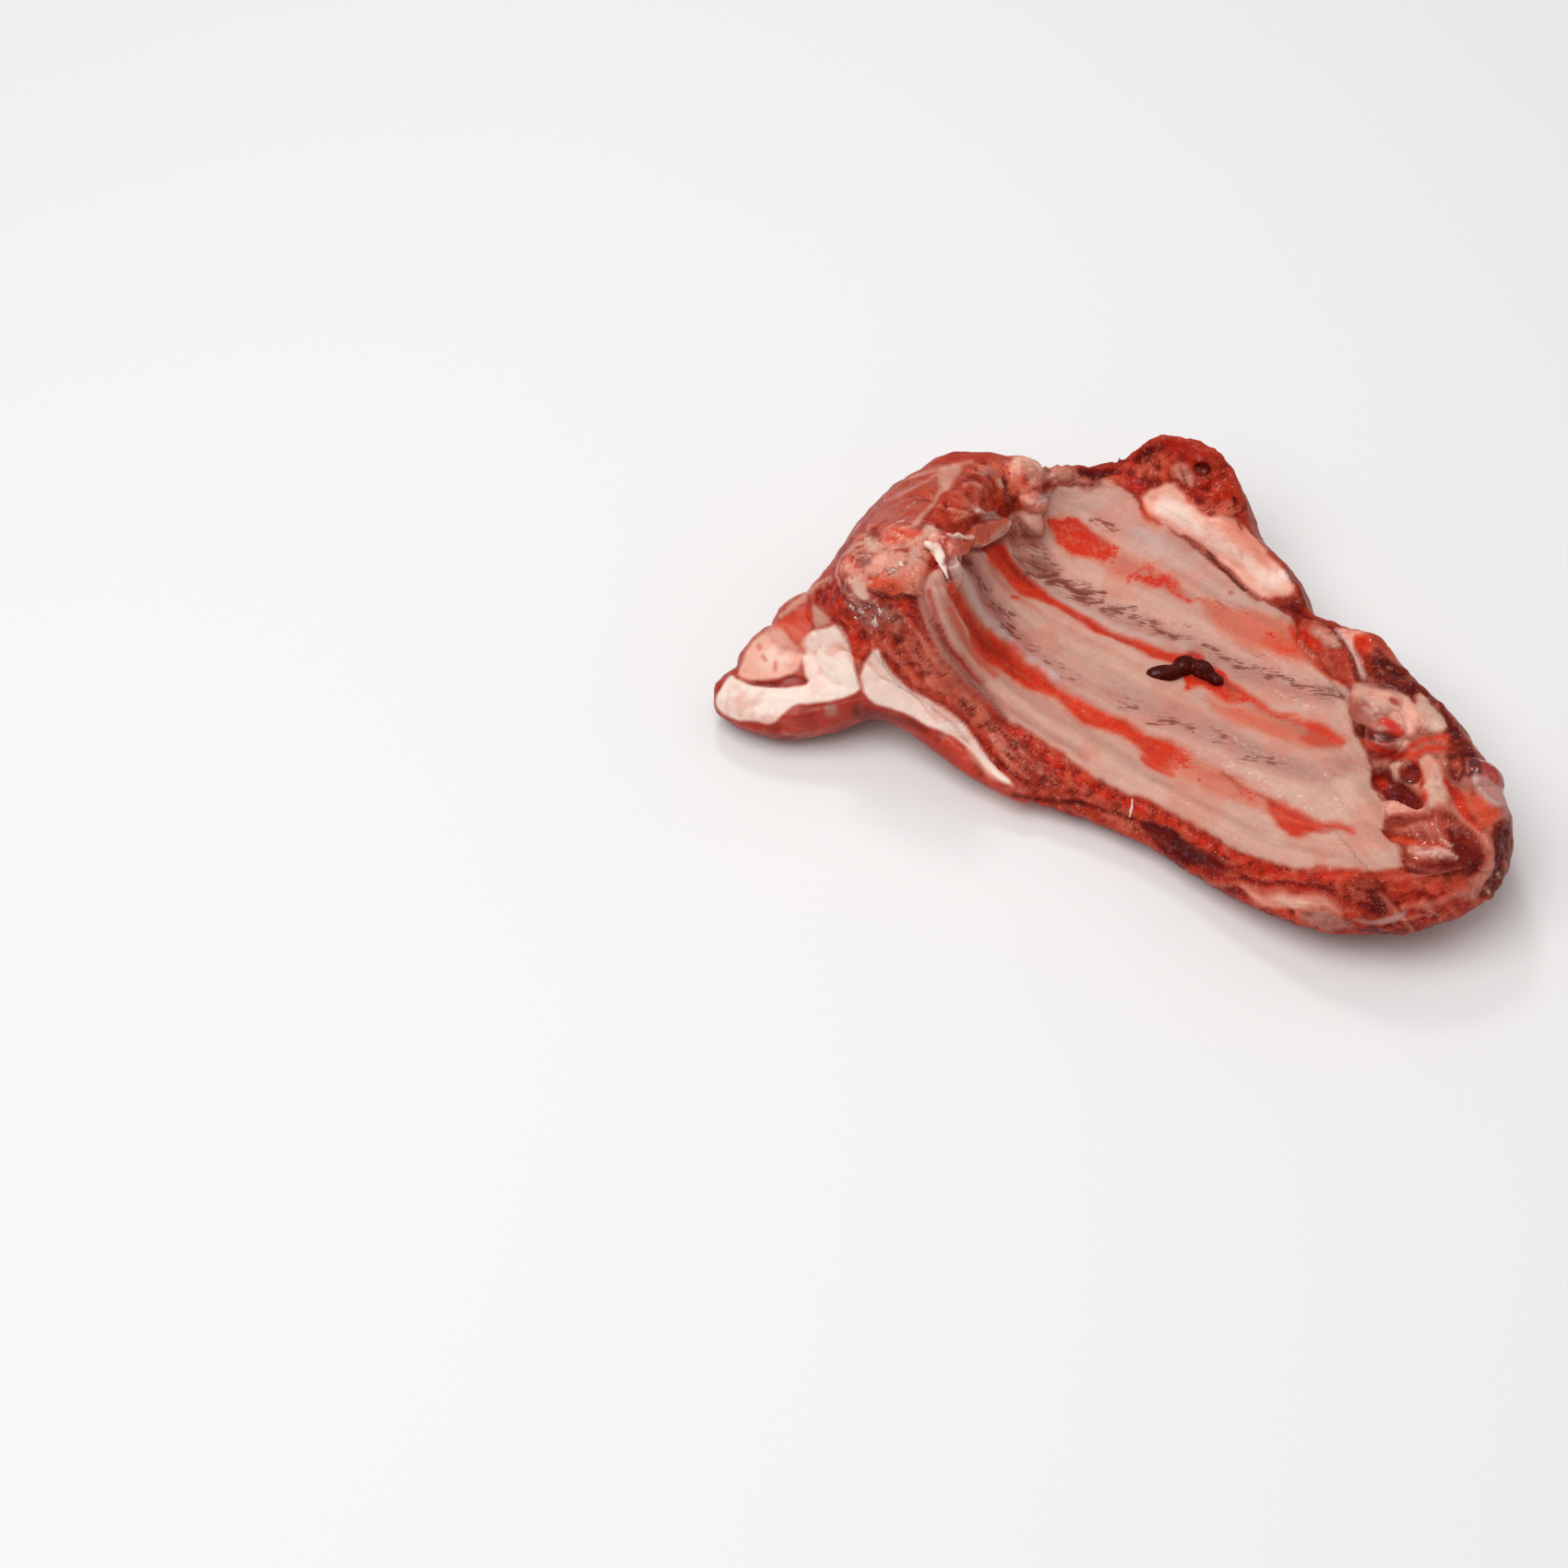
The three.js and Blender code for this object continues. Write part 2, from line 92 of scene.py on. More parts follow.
# The ribs run at this angle to the X axis, and the frame's origin is at this place along and across.
RIB_TURN = math.radians(35)
ORIGIN_ALONG = 40.0
ORIGIN_ACROSS = 32.0

# The lined face. Its border starts at the backbone and goes round with the breast end last.
LINING_NEAR_EDGE = (
    (1004, 618), (1008, 650), (1016, 682), (1034, 708), (1058, 738), (1082, 762), (1105, 785),
    (1128, 802), (1150, 816), (1172, 830), (1196, 846), (1222, 862), (1245, 869), (1266, 881),
    (1290, 896), (1318, 909), (1340, 923), (1362, 931), (1390, 937), (1420, 943), (1450, 945),
    (1480, 947), (1521, 946),
)
LINING_BREAST_EDGE = (
    (1524, 932), (1521, 917), (1500, 909), (1499, 886), (1497, 866), (1488, 848), (1487, 826),
    (1474, 806), (1468, 788), (1464, 760), (1458, 742), (1440, 735), (1424, 718), (1410, 695),
)
LINING_FAR_EDGE = (
    (1403, 676), (1385, 664), (1362, 652), (1340, 630), (1316, 607), (1293, 588), (1263, 574),
    (1240, 562), (1232, 545), (1222, 528), (1200, 522), (1170, 526), (1140, 530),
)
LINING_SPINE_EDGE = (
    (1132, 545), (1110, 560), (1097, 560), (1092, 576), (1080, 584), (1060, 593), (1046, 599),
    (1030, 608), (1022, 622), (1012, 614),
)
LINING = LINING_NEAR_EDGE + LINING_BREAST_EDGE + LINING_FAR_EDGE + LINING_SPINE_EDGE
LINING_CURVES = (
    (LINING_NEAR_EDGE, 0.0),
    (((1024, 622), (1042, 665), (1085, 718), (1135, 752), (1200, 786), (1300, 845), (1400, 890),
      (1478, 910)), 12.0),
    (((1050, 610), (1065, 650), (1090, 690), (1120, 715), (1180, 750), (1240, 785), (1300, 805),
      (1350, 830), (1400, 845)), 22.0),
    (((1056, 586), (1095, 630), (1150, 662), (1215, 693), (1280, 722), (1350, 757), (1400, 777),
      (1456, 805)), 36.0),
    (((1088, 572), (1103, 600), (1128, 628), (1160, 645), (1200, 662), (1250, 681), (1300, 700),
      (1350, 722), (1400, 740), (1450, 750)), 45.0),
    (((1128, 566), (1175, 585), (1240, 618), (1298, 652), (1350, 672), (1400, 702), (1430, 722)), 57.0),
    (((1150, 545), (1190, 560), (1230, 590), (1260, 605), (1300, 630), (1340, 652), (1390, 677)), 66.0),
    (LINING_FAR_EDGE[::-1], 74.0),
)
CURVE_TURN = math.radians(50)

# The first red stripe, nearest the cut face, from the backbone to the breast end.
FIRST_STRIPE = (
    (1024, 616), (1034, 630), (1042, 645), (1052, 660), (1062, 674), (1076, 687), (1088, 697),
    (1100, 708), (1115, 720), (1128, 731), (1142, 743), (1152, 750), (1168, 757), (1182, 764),
    (1196, 772), (1212, 779), (1226, 787), (1238, 796), (1250, 800), (1264, 807), (1276, 815),
    (1290, 822), (1270, 836), (1252, 828), (1240, 818), (1228, 806), (1213, 798), (1198, 792),
    (1182, 787), (1170, 779), (1160, 770), (1150, 760), (1138, 752), (1124, 748), (1110, 743),
    (1098, 735), (1086, 727), (1074, 720), (1063, 712), (1055, 702), (1050, 690), (1042, 673),
    (1034, 656), (1027, 642),
)
FIRST_STRIPE_CORE = (
    (1048, 662), (1060, 678), (1074, 692), (1088, 704), (1100, 716), (1112, 726), (1122, 738),
    (1108, 736), (1094, 727), (1080, 716), (1066, 704), (1056, 690), (1049, 676),
)
FIRST_STRIPE_MIDDLE = (
    (1278, 816), (1292, 822), (1302, 830), (1324, 838), (1340, 848), (1358, 857), (1376, 865),
    (1378, 884), (1356, 872), (1334, 864), (1312, 856), (1290, 846), (1270, 838), (1262, 826),
)
FIRST_STRIPE_THREAD = ((1326, 838), (1340, 852), (1356, 859), (1374, 866), (1384, 870))
FIRST_STRIPE_END = (
    (1374, 864), (1394, 871), (1412, 880), (1420, 888), (1434, 896), (1450, 899), (1462, 904),
    (1469, 911), (1460, 909), (1446, 903), (1430, 901), (1418, 904), (1404, 909), (1394, 900),
    (1384, 892), (1376, 883),
)
FIRST_STRIPE_EDGE = ((1238, 822), (1252, 832), (1270, 840))

# The grey band beside it, which is violet at the backbone, and the pale bone beyond that.
SHINE_BAND = ((1034, 612), (1042, 626), (1051, 642), (1058, 656), (1068, 670), (1084, 686), (1102, 704), (1124, 722), (1142, 736))
FIRST_VIOLET = (
    (1038, 606), (1046, 600), (1058, 604), (1066, 626), (1076, 648), (1090, 664), (1102, 682),
    (1114, 698), (1124, 712), (1112, 708), (1096, 694), (1080, 678), (1064, 658), (1050, 632),
)
FIRST_BAND = (
    (1105, 690), (1130, 712), (1165, 732), (1205, 752), (1245, 768), (1285, 784), (1325, 800),
    (1370, 820), (1420, 838), (1455, 842),
)
LIP_SHADE = ((1036, 604), (1048, 600), (1054, 606), (1050, 616), (1040, 612))
PALE_RIB = (
    (1078, 626), (1092, 648), (1112, 664), (1140, 676), (1172, 696), (1204, 712), (1240, 726),
    (1282, 752), (1320, 770), (1280, 768), (1240, 756), (1200, 744), (1160, 722), (1120, 698),
    (1098, 674), (1084, 650),
)
NEAR_RIB = ((1034, 668), (1052, 708), (1078, 738), (1110, 762), (1150, 786), (1200, 818), (1260, 856), (1330, 892), (1400, 922), (1460, 930))
PINK_RIB = ((1070, 604), (1084, 630), (1104, 652), (1130, 664), (1104, 656), (1086, 640), (1072, 618))

# The second stripe, which runs under the clot and ends in a broad salmon field.
SECOND_STRIPE = (
    (1062, 592), (1074, 588), (1086, 586), (1094, 600), (1103, 611), (1113, 621), (1123, 630),
    (1133, 641), (1143, 650), (1152, 656), (1162, 662), (1171, 669), (1182, 674), (1194, 679),
    (1206, 687), (1220, 692), (1236, 695), (1250, 701), (1264, 706), (1276, 709), (1290, 705),
    (1302, 709), (1306, 716), (1290, 726), (1276, 722), (1262, 718), (1248, 713), (1236, 705),
    (1222, 699), (1207, 693), (1194, 687), (1181, 682), (1169, 675), (1157, 667), (1144, 659),
    (1130, 653), (1115, 648), (1102, 640), (1091, 629), (1081, 617), (1074, 606), (1067, 597),
)
SECOND_STRIPE_CORE = (
    (1082, 588), (1092, 602), (1104, 614), (1116, 625), (1128, 636), (1120, 634), (1106, 624),
    (1094, 612), (1085, 600), (1078, 592),
)
SECOND_STRIPE_LIGHT = ((1068, 596), (1080, 612), (1092, 626), (1106, 640), (1098, 634), (1084, 620), (1072, 606))
STAIN_UNDER_CLOT = (
    (1280, 728), (1292, 724), (1306, 722), (1318, 726), (1330, 738), (1348, 744), (1350, 752),
    (1362, 758), (1380, 767), (1398, 775), (1412, 780), (1396, 780), (1378, 776), (1360, 770),
    (1340, 764), (1322, 758), (1312, 750), (1300, 744), (1290, 750), (1284, 748), (1286, 738),
)
STAIN_DEEP = ((1300, 728), (1318, 732), (1334, 742), (1346, 750), (1334, 752), (1316, 746), (1304, 738))
LOWER_SALMON = (
    (1306, 752), (1322, 762), (1342, 768), (1364, 774), (1384, 779), (1404, 782), (1424, 784),
    (1436, 787), (1446, 797), (1457, 802), (1457, 808), (1432, 811), (1412, 808), (1390, 800),
    (1366, 793), (1344, 786), (1326, 776), (1310, 764),
)
SECOND_STRIPE_END = (
    (1414, 785), (1428, 784), (1437, 788), (1447, 797), (1457, 802), (1457, 808), (1440, 809),
    (1420, 808), (1406, 800), (1418, 794),
)
SECOND_STRIPE_THREADS = ((1402, 786), (1420, 787), (1432, 790)), ((1386, 778), (1400, 783), (1410, 782))

# The band between the second and third stripes, dark at the backbone and hatched beyond.
DARK_LENS = (
    (1095, 572), (1103, 558), (1114, 568), (1124, 580), (1134, 592), (1146, 606), (1158, 620),
    (1148, 626), (1136, 627), (1124, 625), (1112, 614), (1102, 602), (1096, 588),
)
LENS_CORE = ((1097, 576), (1108, 576), (1118, 584), (1128, 594), (1120, 594), (1106, 590), (1096, 584))
LENS_CORE_LOW = ((1100, 600), (1114, 604), (1130, 606), (1146, 616), (1152, 622), (1134, 622), (1116, 616), (1104, 608))
LENS_STREAKS = ((1096, 592), (1110, 596), (1124, 598)), ((1106, 603), (1120, 612), (1132, 616))
LENS_LIGHT_SIDE = ((1108, 562), (1122, 574), (1136, 590), (1150, 606), (1164, 620), (1184, 634))
SECOND_BAND = (
    (1088, 584), (1098, 604), (1118, 624), (1134, 634), (1160, 646), (1196, 662), (1230, 676),
    (1262, 690), (1296, 704), (1330, 722), (1370, 738), (1410, 748), (1452, 756),
)
PALE_SIDE = ((1086, 590), (1100, 612), (1120, 632), (1142, 646), (1168, 660), (1194, 674), (1220, 684), (1250, 692), (1284, 700))
HATCHES = (
    ((1137, 631), (1150, 631), (1163, 640), (1174, 644), 2.6, 0.85), ((1150, 629), (1166, 633), (1182, 635), 1.5, 0.6),
    ((1170, 646), (1184, 643), (1198, 644), 2.6, 0.8), ((1158, 648), (1174, 650), (1186, 651), 1.5, 0.55),
    ((1178, 654), (1188, 655), (1196, 653), 1.6, 0.6), ((1112, 620), (1128, 625), (1146, 624), 1.6, 0.7),
    ((1196, 662), (1212, 660), (1232, 658), 1.7, 0.75), ((1203, 667), (1210, 664), (1218, 664), 2.0, 0.6),
    ((1226, 668), (1240, 669), (1252, 675), 1.6, 0.5), ((1232, 676), (1240, 676), 1.5, 0.4),
    ((1250, 676), (1262, 676), 1.5, 0.4), ((1250, 683), (1264, 686), (1274, 691), 2.2, 0.65),
    ((1274, 676), (1284, 678), (1292, 682), 1.6, 0.5), ((1280, 690), (1294, 692), 1.5, 0.4),
    ((1304, 699), (1312, 702), (1322, 707), 1.8, 0.6), ((1324, 714), (1336, 716), (1346, 718), 1.6, 0.5),
    ((1342, 723), (1356, 724), (1368, 727), 1.8, 0.6), ((1376, 734), (1390, 733), (1402, 737), 2.6, 0.55),
    ((1372, 724), (1388, 726), 1.4, 0.3), ((1402, 742), (1422, 745), (1444, 748), 2.0, 0.45),
    ((1424, 752), (1442, 754), (1458, 755), 1.8, 0.4), ((1350, 708), (1370, 712), 1.4, 0.3),
    ((1042, 604), (1050, 610), 2.4, 0.8), ((1050, 616), (1062, 628), 1.6, 0.5),
    ((1062, 634), (1074, 640), 1.6, 0.45), ((1076, 656), (1090, 664), (1098, 668), 2.4, 0.5),
    ((1084, 680), (1098, 683), 1.7, 0.7), ((1092, 690), (1104, 693), 1.6, 0.45),
    ((1112, 704), (1120, 706), 1.8, 0.45), ((1132, 720), (1150, 722), 1.4, 0.3),
    ((1150, 736), (1166, 740), 1.6, 0.3), ((1214, 767), (1230, 767), 2.2, 0.45),
    ((1244, 784), (1256, 784), (1270, 782), 2.0, 0.6), ((1262, 780), (1276, 782), (1288, 788), (1294, 793), 1.6, 0.4),
    ((1314, 790), (1328, 798), 1.8, 0.35), ((1350, 821), (1368, 822), (1390, 828), 1.8, 0.4),
    ((1316, 806), (1334, 806), 1.6, 0.3), ((1340, 826), (1362, 828), 1.6, 0.3),
    ((1182, 564), (1196, 566), (1208, 570), 2.4, 0.6), ((1196, 574), (1212, 575), 1.8, 0.45),
)

# The third stripe: an orange body with a deep rim, then a salmon field.
THIRD_BODY = (
    (1130, 562), (1146, 560), (1162, 561), (1176, 570), (1188, 578), (1200, 588), (1212, 596),
    (1204, 602), (1196, 612), (1184, 608), (1172, 606), (1158, 598), (1146, 588), (1137, 576),
)
THIRD_CORE = (
    (1160, 561), (1172, 566), (1184, 574), (1194, 582), (1204, 592), (1194, 592), (1182, 584),
    (1170, 577), (1164, 570),
)
THIRD_FIELD = (
    (1196, 592), (1212, 598), (1228, 602), (1242, 606), (1256, 616), (1270, 626), (1282, 634),
    (1276, 644), (1256, 640), (1238, 634), (1220, 626), (1204, 618), (1190, 610),
)
THIRD_END = (
    (1250, 622), (1262, 624), (1274, 628), (1284, 637), (1293, 646), (1297, 652), (1284, 652),
    (1272, 646), (1260, 638), (1246, 634), (1236, 628),
)
SALMON_FIELD = (
    (1298, 650), (1316, 652), (1334, 656), (1352, 660), (1366, 668), (1382, 674), (1398, 680),
    (1408, 694), (1412, 712), (1420, 724), (1400, 720), (1380, 712), (1360, 706), (1340, 698),
    (1324, 684), (1310, 668),
)
SALMON_BRIGHT = ((1362, 700), (1378, 692), (1396, 690), (1408, 698), (1412, 714), (1400, 716), (1384, 710))
FAR_RED_LINE = ((1402, 682), (1408, 696), (1416, 710), (1428, 723), (1442, 733), (1456, 739))
FAR_PALE_BAND = ((1146, 540), (1176, 548), (1206, 556), (1232, 576), (1262, 598), (1300, 622), (1336, 646), (1370, 662))
FAR_LILAC = ((1236, 570), (1250, 582), (1262, 592), (1246, 588), (1234, 580))
FAR_RIB = (
    (1146, 596), (1160, 606), (1178, 616), (1200, 622), (1226, 634), (1254, 650), (1290, 664),
    (1330, 690), (1290, 682), (1250, 664), (1214, 646), (1186, 634), (1164, 620),
)
BREAST_PALE_LINING = (
    (1446, 760), (1462, 770), (1470, 800), (1482, 820), (1486, 850), (1494, 880), (1494, 904),
    (1470, 904), (1440, 894), (1414, 880), (1380, 858), (1340, 838), (1368, 842), (1410, 850),
    (1450, 850), (1462, 820), (1458, 790),
)
BREAST_LINING_LOW = ((1424, 906), (1470, 914), (1500, 916), (1518, 930), (1500, 938), (1450, 936), (1400, 926))
CAPILLARY_ONE = ((1224, 626), (1232, 622), (1240, 616), (1250, 617))
CAPILLARY_TWO = ((1233, 622), (1240, 627), (1248, 624))
CAPILLARY_THREE = ((1222, 634), (1226, 626))
CAPILLARY_FOUR = ((1298, 648), (1310, 652), (1318, 655))
CAPILLARY_FIVE = ((1318, 650), (1326, 656), (1334, 662))
CAPILLARY_SIX = ((1316, 657), (1328, 660))
BLOOD_SPOT = ((1096, 648), (1103, 648))
FAR_SPOT = ((1334, 643), (1336, 644))

# The curved edges of the layers that show between the lining and the cut face.
EDGE_PALE_ONE = ((998, 622), (1002, 650), (1008, 680), (1022, 706), (1044, 732), (1066, 750), (1090, 772))
EDGE_RED_ONE = ((1010, 640), (1016, 670), (1028, 698), (1046, 722), (1064, 740))
EDGE_PALE_TWO = ((1018, 640), (1024, 668), (1034, 692), (1052, 716), (1076, 738), (1104, 762), (1140, 788))
EDGE_RED_TWO = ((1028, 660), (1034, 680), (1046, 700), (1060, 716), (1078, 732))
EDGE_GREY = ((1060, 742), (1090, 764), (1120, 786), (1150, 804), (1180, 822))
EDGE_FIBRES = (
    ((1006, 668), (1018, 708), (1040, 742), (1070, 776)), ((1020, 716), (1046, 748), (1072, 782), (1094, 812)),
    ((1000, 690), (1024, 730), (1050, 766), (1078, 800)), ((984, 690), (1008, 724), (1040, 764), (1064, 796)),
)

# The loin over the backbone: brown muscle with pale seams, and a red lump with a wet lip.
LOIN_DOME = (
    (938, 572), (940, 548), (954, 532), (958, 524), (976, 512), (1000, 497), (1030, 491), (1075, 488),
    (1100, 494), (1094, 502), (1082, 512), (1068, 508), (1050, 514), (1036, 526), (1020, 536), (1010, 552),
    (1000, 566), (984, 575), (960, 572),
)
LOIN_TOP = ((1002, 499), (1040, 494), (1080, 494), (1092, 500), (1060, 503), (1030, 503), (1004, 508), (985, 512))
LOIN_SEAM = ((962, 526), (978, 519), (998, 514), (1018, 509), (1034, 505), (1052, 502))
LOIN_JUNCTION = ((1016, 508), (1034, 504), (1044, 508), (1036, 520), (1028, 530), (1020, 534), (1018, 522))
LOIN_LOWER_SEAM = ((1024, 526), (1014, 542), (1002, 556), (992, 570), (984, 574))
LOIN_THREAD = ((962, 540), (984, 533), (1006, 521), (1016, 514))
LOIN_GREY = ((946, 558), (960, 552), (984, 548), (1000, 542), (994, 552), (966, 564), (950, 570))
LOIN_GLINTS = ((992, 538), (1002, 541)), ((985, 551), (992, 546)), ((976, 536), (986, 533)), ((958, 543), (961, 541))
LUMP_PINK = (
    (1042, 522), (1050, 510), (1062, 502), (1084, 499), (1096, 504), (1098, 518), (1104, 536), (1102, 548),
    (1092, 548), (1084, 534), (1076, 520), (1062, 518), (1050, 520),
)
LUMP_LILAC = ((1060, 512), (1068, 508), (1078, 512), (1074, 519), (1063, 519))
RED_LUMP = (
    (1009, 556), (1016, 542), (1023, 535), (1036, 533), (1046, 524), (1060, 519), (1075, 521), (1083, 532),
    (1089, 546), (1084, 554), (1070, 556), (1052, 562), (1040, 568), (1022, 572), (1008, 569),
)
LUMP_DEEP = ((1016, 545), (1022, 537), (1034, 535), (1040, 546), (1030, 556), (1018, 556))
LUMP_BROWN = ((1050, 530), (1062, 522), (1074, 524), (1082, 536), (1086, 546), (1070, 542), (1058, 540))
LUMP_GREY = ((1040, 546), (1056, 544), (1066, 548), (1060, 556), (1044, 556))
LUMP_THREADS = ((1044, 530), (1052, 527), (1060, 531)), ((1026, 556), (1040, 560), (1052, 559)), ((1034, 566), (1046, 562))
LUMP_SEAM = ((1082, 522), (1088, 534), (1094, 546))
# Painted highlights: a pale sheen patch and a white glint on the wet lump.
SHEEN_PATCH = ((1056, 552), (1068, 555), (1082, 556), (1086, 564), (1072, 567), (1060, 561))
GLINT_SPOT = ((1054, 552), (1060, 558))
PINK_LIP = (
    (1046, 580), (1054, 570), (1066, 566), (1080, 566), (1088, 560), (1094, 567), (1090, 577), (1080, 584),
    (1066, 591), (1052, 592), (1046, 588),
)
LIP_TAN = ((1072, 580), (1084, 568), (1092, 566), (1090, 577), (1078, 586), (1064, 590))
LIP_RIM = ((1092, 567), (1091, 577), (1080, 584), (1066, 591), (1053, 592))
# A painted shadow under the lip's rim.
UNDER_LIP_SHADOW = ((1096, 572), (1092, 582), (1080, 590), (1066, 596), (1052, 598))
LEFT_FLAP = ((1026, 586), (1040, 584), (1050, 590), (1048, 598), (1034, 605), (1028, 600))
LEFT_FLAP_RIM = ((1050, 597), (1038, 603), (1030, 608))
WHITE_STRIP = ((1028, 580), (1038, 583), (1048, 583))
DARK_HOLLOW = ((1084, 552), (1092, 548), (1103, 548), (1108, 556), (1098, 562), (1086, 557))
SPIKE_FOOT = ((1024, 612), (1031, 622), (1034, 632), (1026, 632), (1020, 620))

# The fat over the rib heads, and the brown lumps between it and the peak.
PINK_LUMP = (
    (1092, 510), (1096, 498), (1108, 492), (1130, 494), (1146, 498), (1150, 510), (1142, 518),
    (1130, 524), (1126, 540), (1134, 552), (1120, 560), (1108, 548), (1104, 530), (1096, 520),
)
LUMP_ORANGE = ((1096, 518), (1108, 514), (1116, 524), (1112, 534), (1102, 528))
LUMP_WHITE = ((1108, 494), (1124, 498), (1138, 506), (1130, 518), (1118, 530), (1112, 512))
PALE_FOOT = ((1118, 540), (1130, 534), (1140, 530), (1136, 545), (1124, 552))
BROWN_LUMPS = ((1140, 503), (1150, 498), (1166, 506), (1180, 516), (1168, 526), (1148, 524), (1138, 528))
BROWN_KNOB = ((1146, 508), (1156, 506), (1162, 516), (1154, 522), (1146, 518))
TOP_GAP = ((1166, 508), (1180, 511), (1196, 511), (1214, 510), (1202, 517), (1184, 522), (1172, 518))
TOP_KNOB = ((1172, 516), (1180, 516), (1182, 524), (1174, 525))
TOP_BROWN = ((1164, 522), (1196, 520), (1222, 516), (1228, 528), (1200, 530), (1168, 532))
TOP_RED = ((1200, 515), (1222, 512), (1236, 520), (1226, 532), (1208, 524))

# The sawn backbone and the cut face below it.
CHINE = (
    (906, 618), (918, 600), (926, 586), (938, 576), (946, 568), (980, 572), (1010, 570), (1020, 580),
    (1014, 596), (1004, 606), (998, 620), (1000, 640), (984, 646), (962, 642), (944, 637), (926, 624),
)
CHINE_ORANGE = ((942, 576), (954, 568), (976, 572), (1000, 575), (996, 582), (976, 590), (956, 590), (948, 584))
CHINE_OVAL = ((936, 586), (946, 580), (956, 586), (954, 597), (942, 599))
CHINE_WHITE = ((982, 598), (990, 588), (1002, 580), (1004, 590), (996, 602), (990, 618), (982, 614))
CHINE_CREAM = ((998, 574), (1010, 571), (1018, 576), (1012, 586), (1002, 588))
CHINE_MIDDLE = ((946, 604), (964, 596), (980, 600), (980, 620), (962, 624), (948, 618))
CHINE_RED = ((940, 622), (962, 626), (978, 630), (990, 640), (968, 644), (948, 636))
# Painted highlights: small white glints on the sawn bone.
CHINE_GLINTS = ((974, 611), (978, 613)), ((958, 606), (960, 608)), ((948, 613), (950, 615)), ((966, 618), (970, 618)), ((978, 592), (982, 594)), ((990, 606), (992, 612)), ((934, 606), (937, 609))
CHINE_BLAZE = (
    (984, 590), (996, 580), (1010, 572), (1018, 578), (1012, 590), (1004, 600), (1002, 614), (990, 622),
    (984, 610),
)
CHINE_LEFT_RED = ((916, 604), (926, 598), (932, 610), (922, 618))
# Painted shade in the crease under the backbone.
CREASE_SHADE_UNDER_CHINE = ((943, 639), (954, 643), (966, 649), (978, 645), (994, 646))
CUT_FACE = (
    (884, 648), (900, 630), (916, 622), (944, 640), (976, 648), (998, 640), (1008, 670), (1022, 706),
    (1044, 734), (1068, 758), (1090, 782), (1116, 806), (1150, 838), (1130, 858), (1088, 850), (1060, 822),
    (1040, 792), (1020, 770), (1000, 758), (976, 740), (954, 716), (946, 700), (932, 720), (924, 718),
    (926, 700), (908, 674), (890, 660),
)
CUT_DARK = ((948, 668), (976, 672), (1004, 706), (1034, 746), (1060, 784), (1040, 776), (1004, 744), (970, 706))
CUT_SPARKLE = ((906, 640), (940, 648), (958, 646), (964, 662), (950, 682), (930, 680), (914, 664))
CUT_GREY = ((956, 656), (972, 654), (984, 672), (976, 680), (962, 672))
CUT_WHITE = ((914, 624), (926, 622), (940, 634), (946, 648), (938, 652), (924, 640))
CUT_WEDGE = ((880, 654), (890, 660), (904, 676), (892, 682), (880, 680))
CUT_RED_LEFT = ((890, 640), (906, 640), (926, 672), (934, 694), (940, 702), (932, 722), (924, 716), (926, 698), (908, 670))
CUT_RED_TOP = ((936, 642), (960, 650), (990, 646), (1000, 662), (1002, 690), (984, 678), (966, 660))
CUT_ORANGE = ((990, 676), (1006, 700), (1030, 736), (1050, 752), (1038, 752), (1012, 724), (994, 700))
CUT_LOW_DARK = ((1010, 760), (1040, 776), (1064, 806), (1090, 834), (1078, 834), (1052, 804), (1026, 778))
CUT_FIBRES = (
    ((958, 694), (976, 720), (1000, 744)), ((970, 684), (996, 716), (1024, 750)), ((982, 670), (1004, 700), (1026, 730)),
    ((1044, 752), (1062, 776), (1084, 808), (1096, 832)), ((1062, 762), (1082, 792), (1096, 818)),
    ((1092, 770), (1099, 782), (1102, 796)), ((1100, 804), (1114, 822), (1134, 838)), ((1074, 800), (1092, 826), (1112, 842)),
)
CUT_GLINTS = (
    ((922, 658), (924, 660)), ((938, 646), (944, 650)), ((932, 662), (935, 664)), ((948, 672), (951, 675)),
    ((926, 668), (928, 671)), ((954, 660), (956, 663)), ((940, 656), (942, 657)), ((962, 668), (964, 670)),
    ((970, 688), (974, 690)), ((944, 684), (946, 686)), ((992, 712), (994, 714)), ((1026, 742), (1028, 744)),
)

# The fat at the backbone corner, low on the left.
FAT_SEAM = (
    (930, 744), (936, 724), (944, 704), (952, 702), (956, 714), (966, 728), (984, 744), (1004, 758),
    (1026, 768), (1044, 784), (1060, 806), (1080, 832), (1100, 850), (1088, 850), (1066, 830), (1046, 808),
    (1026, 796), (1006, 788), (986, 775), (962, 766), (944, 760),
)
SEAM_TAIL = ((1044, 806), (1062, 820), (1082, 838), (1104, 852), (1080, 848), (1056, 830))
FAT_LOBE = (
    (866, 692), (880, 683), (898, 682), (908, 676), (922, 694), (926, 714), (930, 736), (933, 750),
    (908, 760), (880, 763), (862, 764), (850, 771), (838, 784), (818, 782), (796, 780), (780, 770),
    (776, 758), (784, 742), (792, 730), (800, 738), (826, 744), (860, 744), (880, 740), (874, 728),
    (870, 712),
)
PINK_LOBE = (
    (800, 736), (804, 720), (808, 704), (818, 690), (838, 678), (856, 674), (872, 684), (868, 698),
    (872, 714), (866, 728), (848, 734), (820, 740),
)
LOBE_SHINE = ((826, 706), (846, 702), (860, 708), (858, 722), (838, 728), (824, 720))
LOBE_SPOTS = ((828, 712), (831, 716)), ((842, 720), (842, 726)), ((868, 704), (872, 708)), ((822, 700), (824, 703))
LOBE_RED_TOP = ((830, 682), (848, 668), (868, 656), (880, 660), (882, 682), (868, 692), (874, 708), (864, 698), (850, 686))
LOBE_RIM = ((846, 668), (862, 654), (880, 642), (900, 628))
DARK_SLIT = ((803, 733), (808, 739), (824, 740), (844, 736), (862, 730), (872, 732), (880, 740), (862, 742), (838, 745), (812, 744))
KNOB_CREASE = ((930, 716), (931, 730), (935, 748))
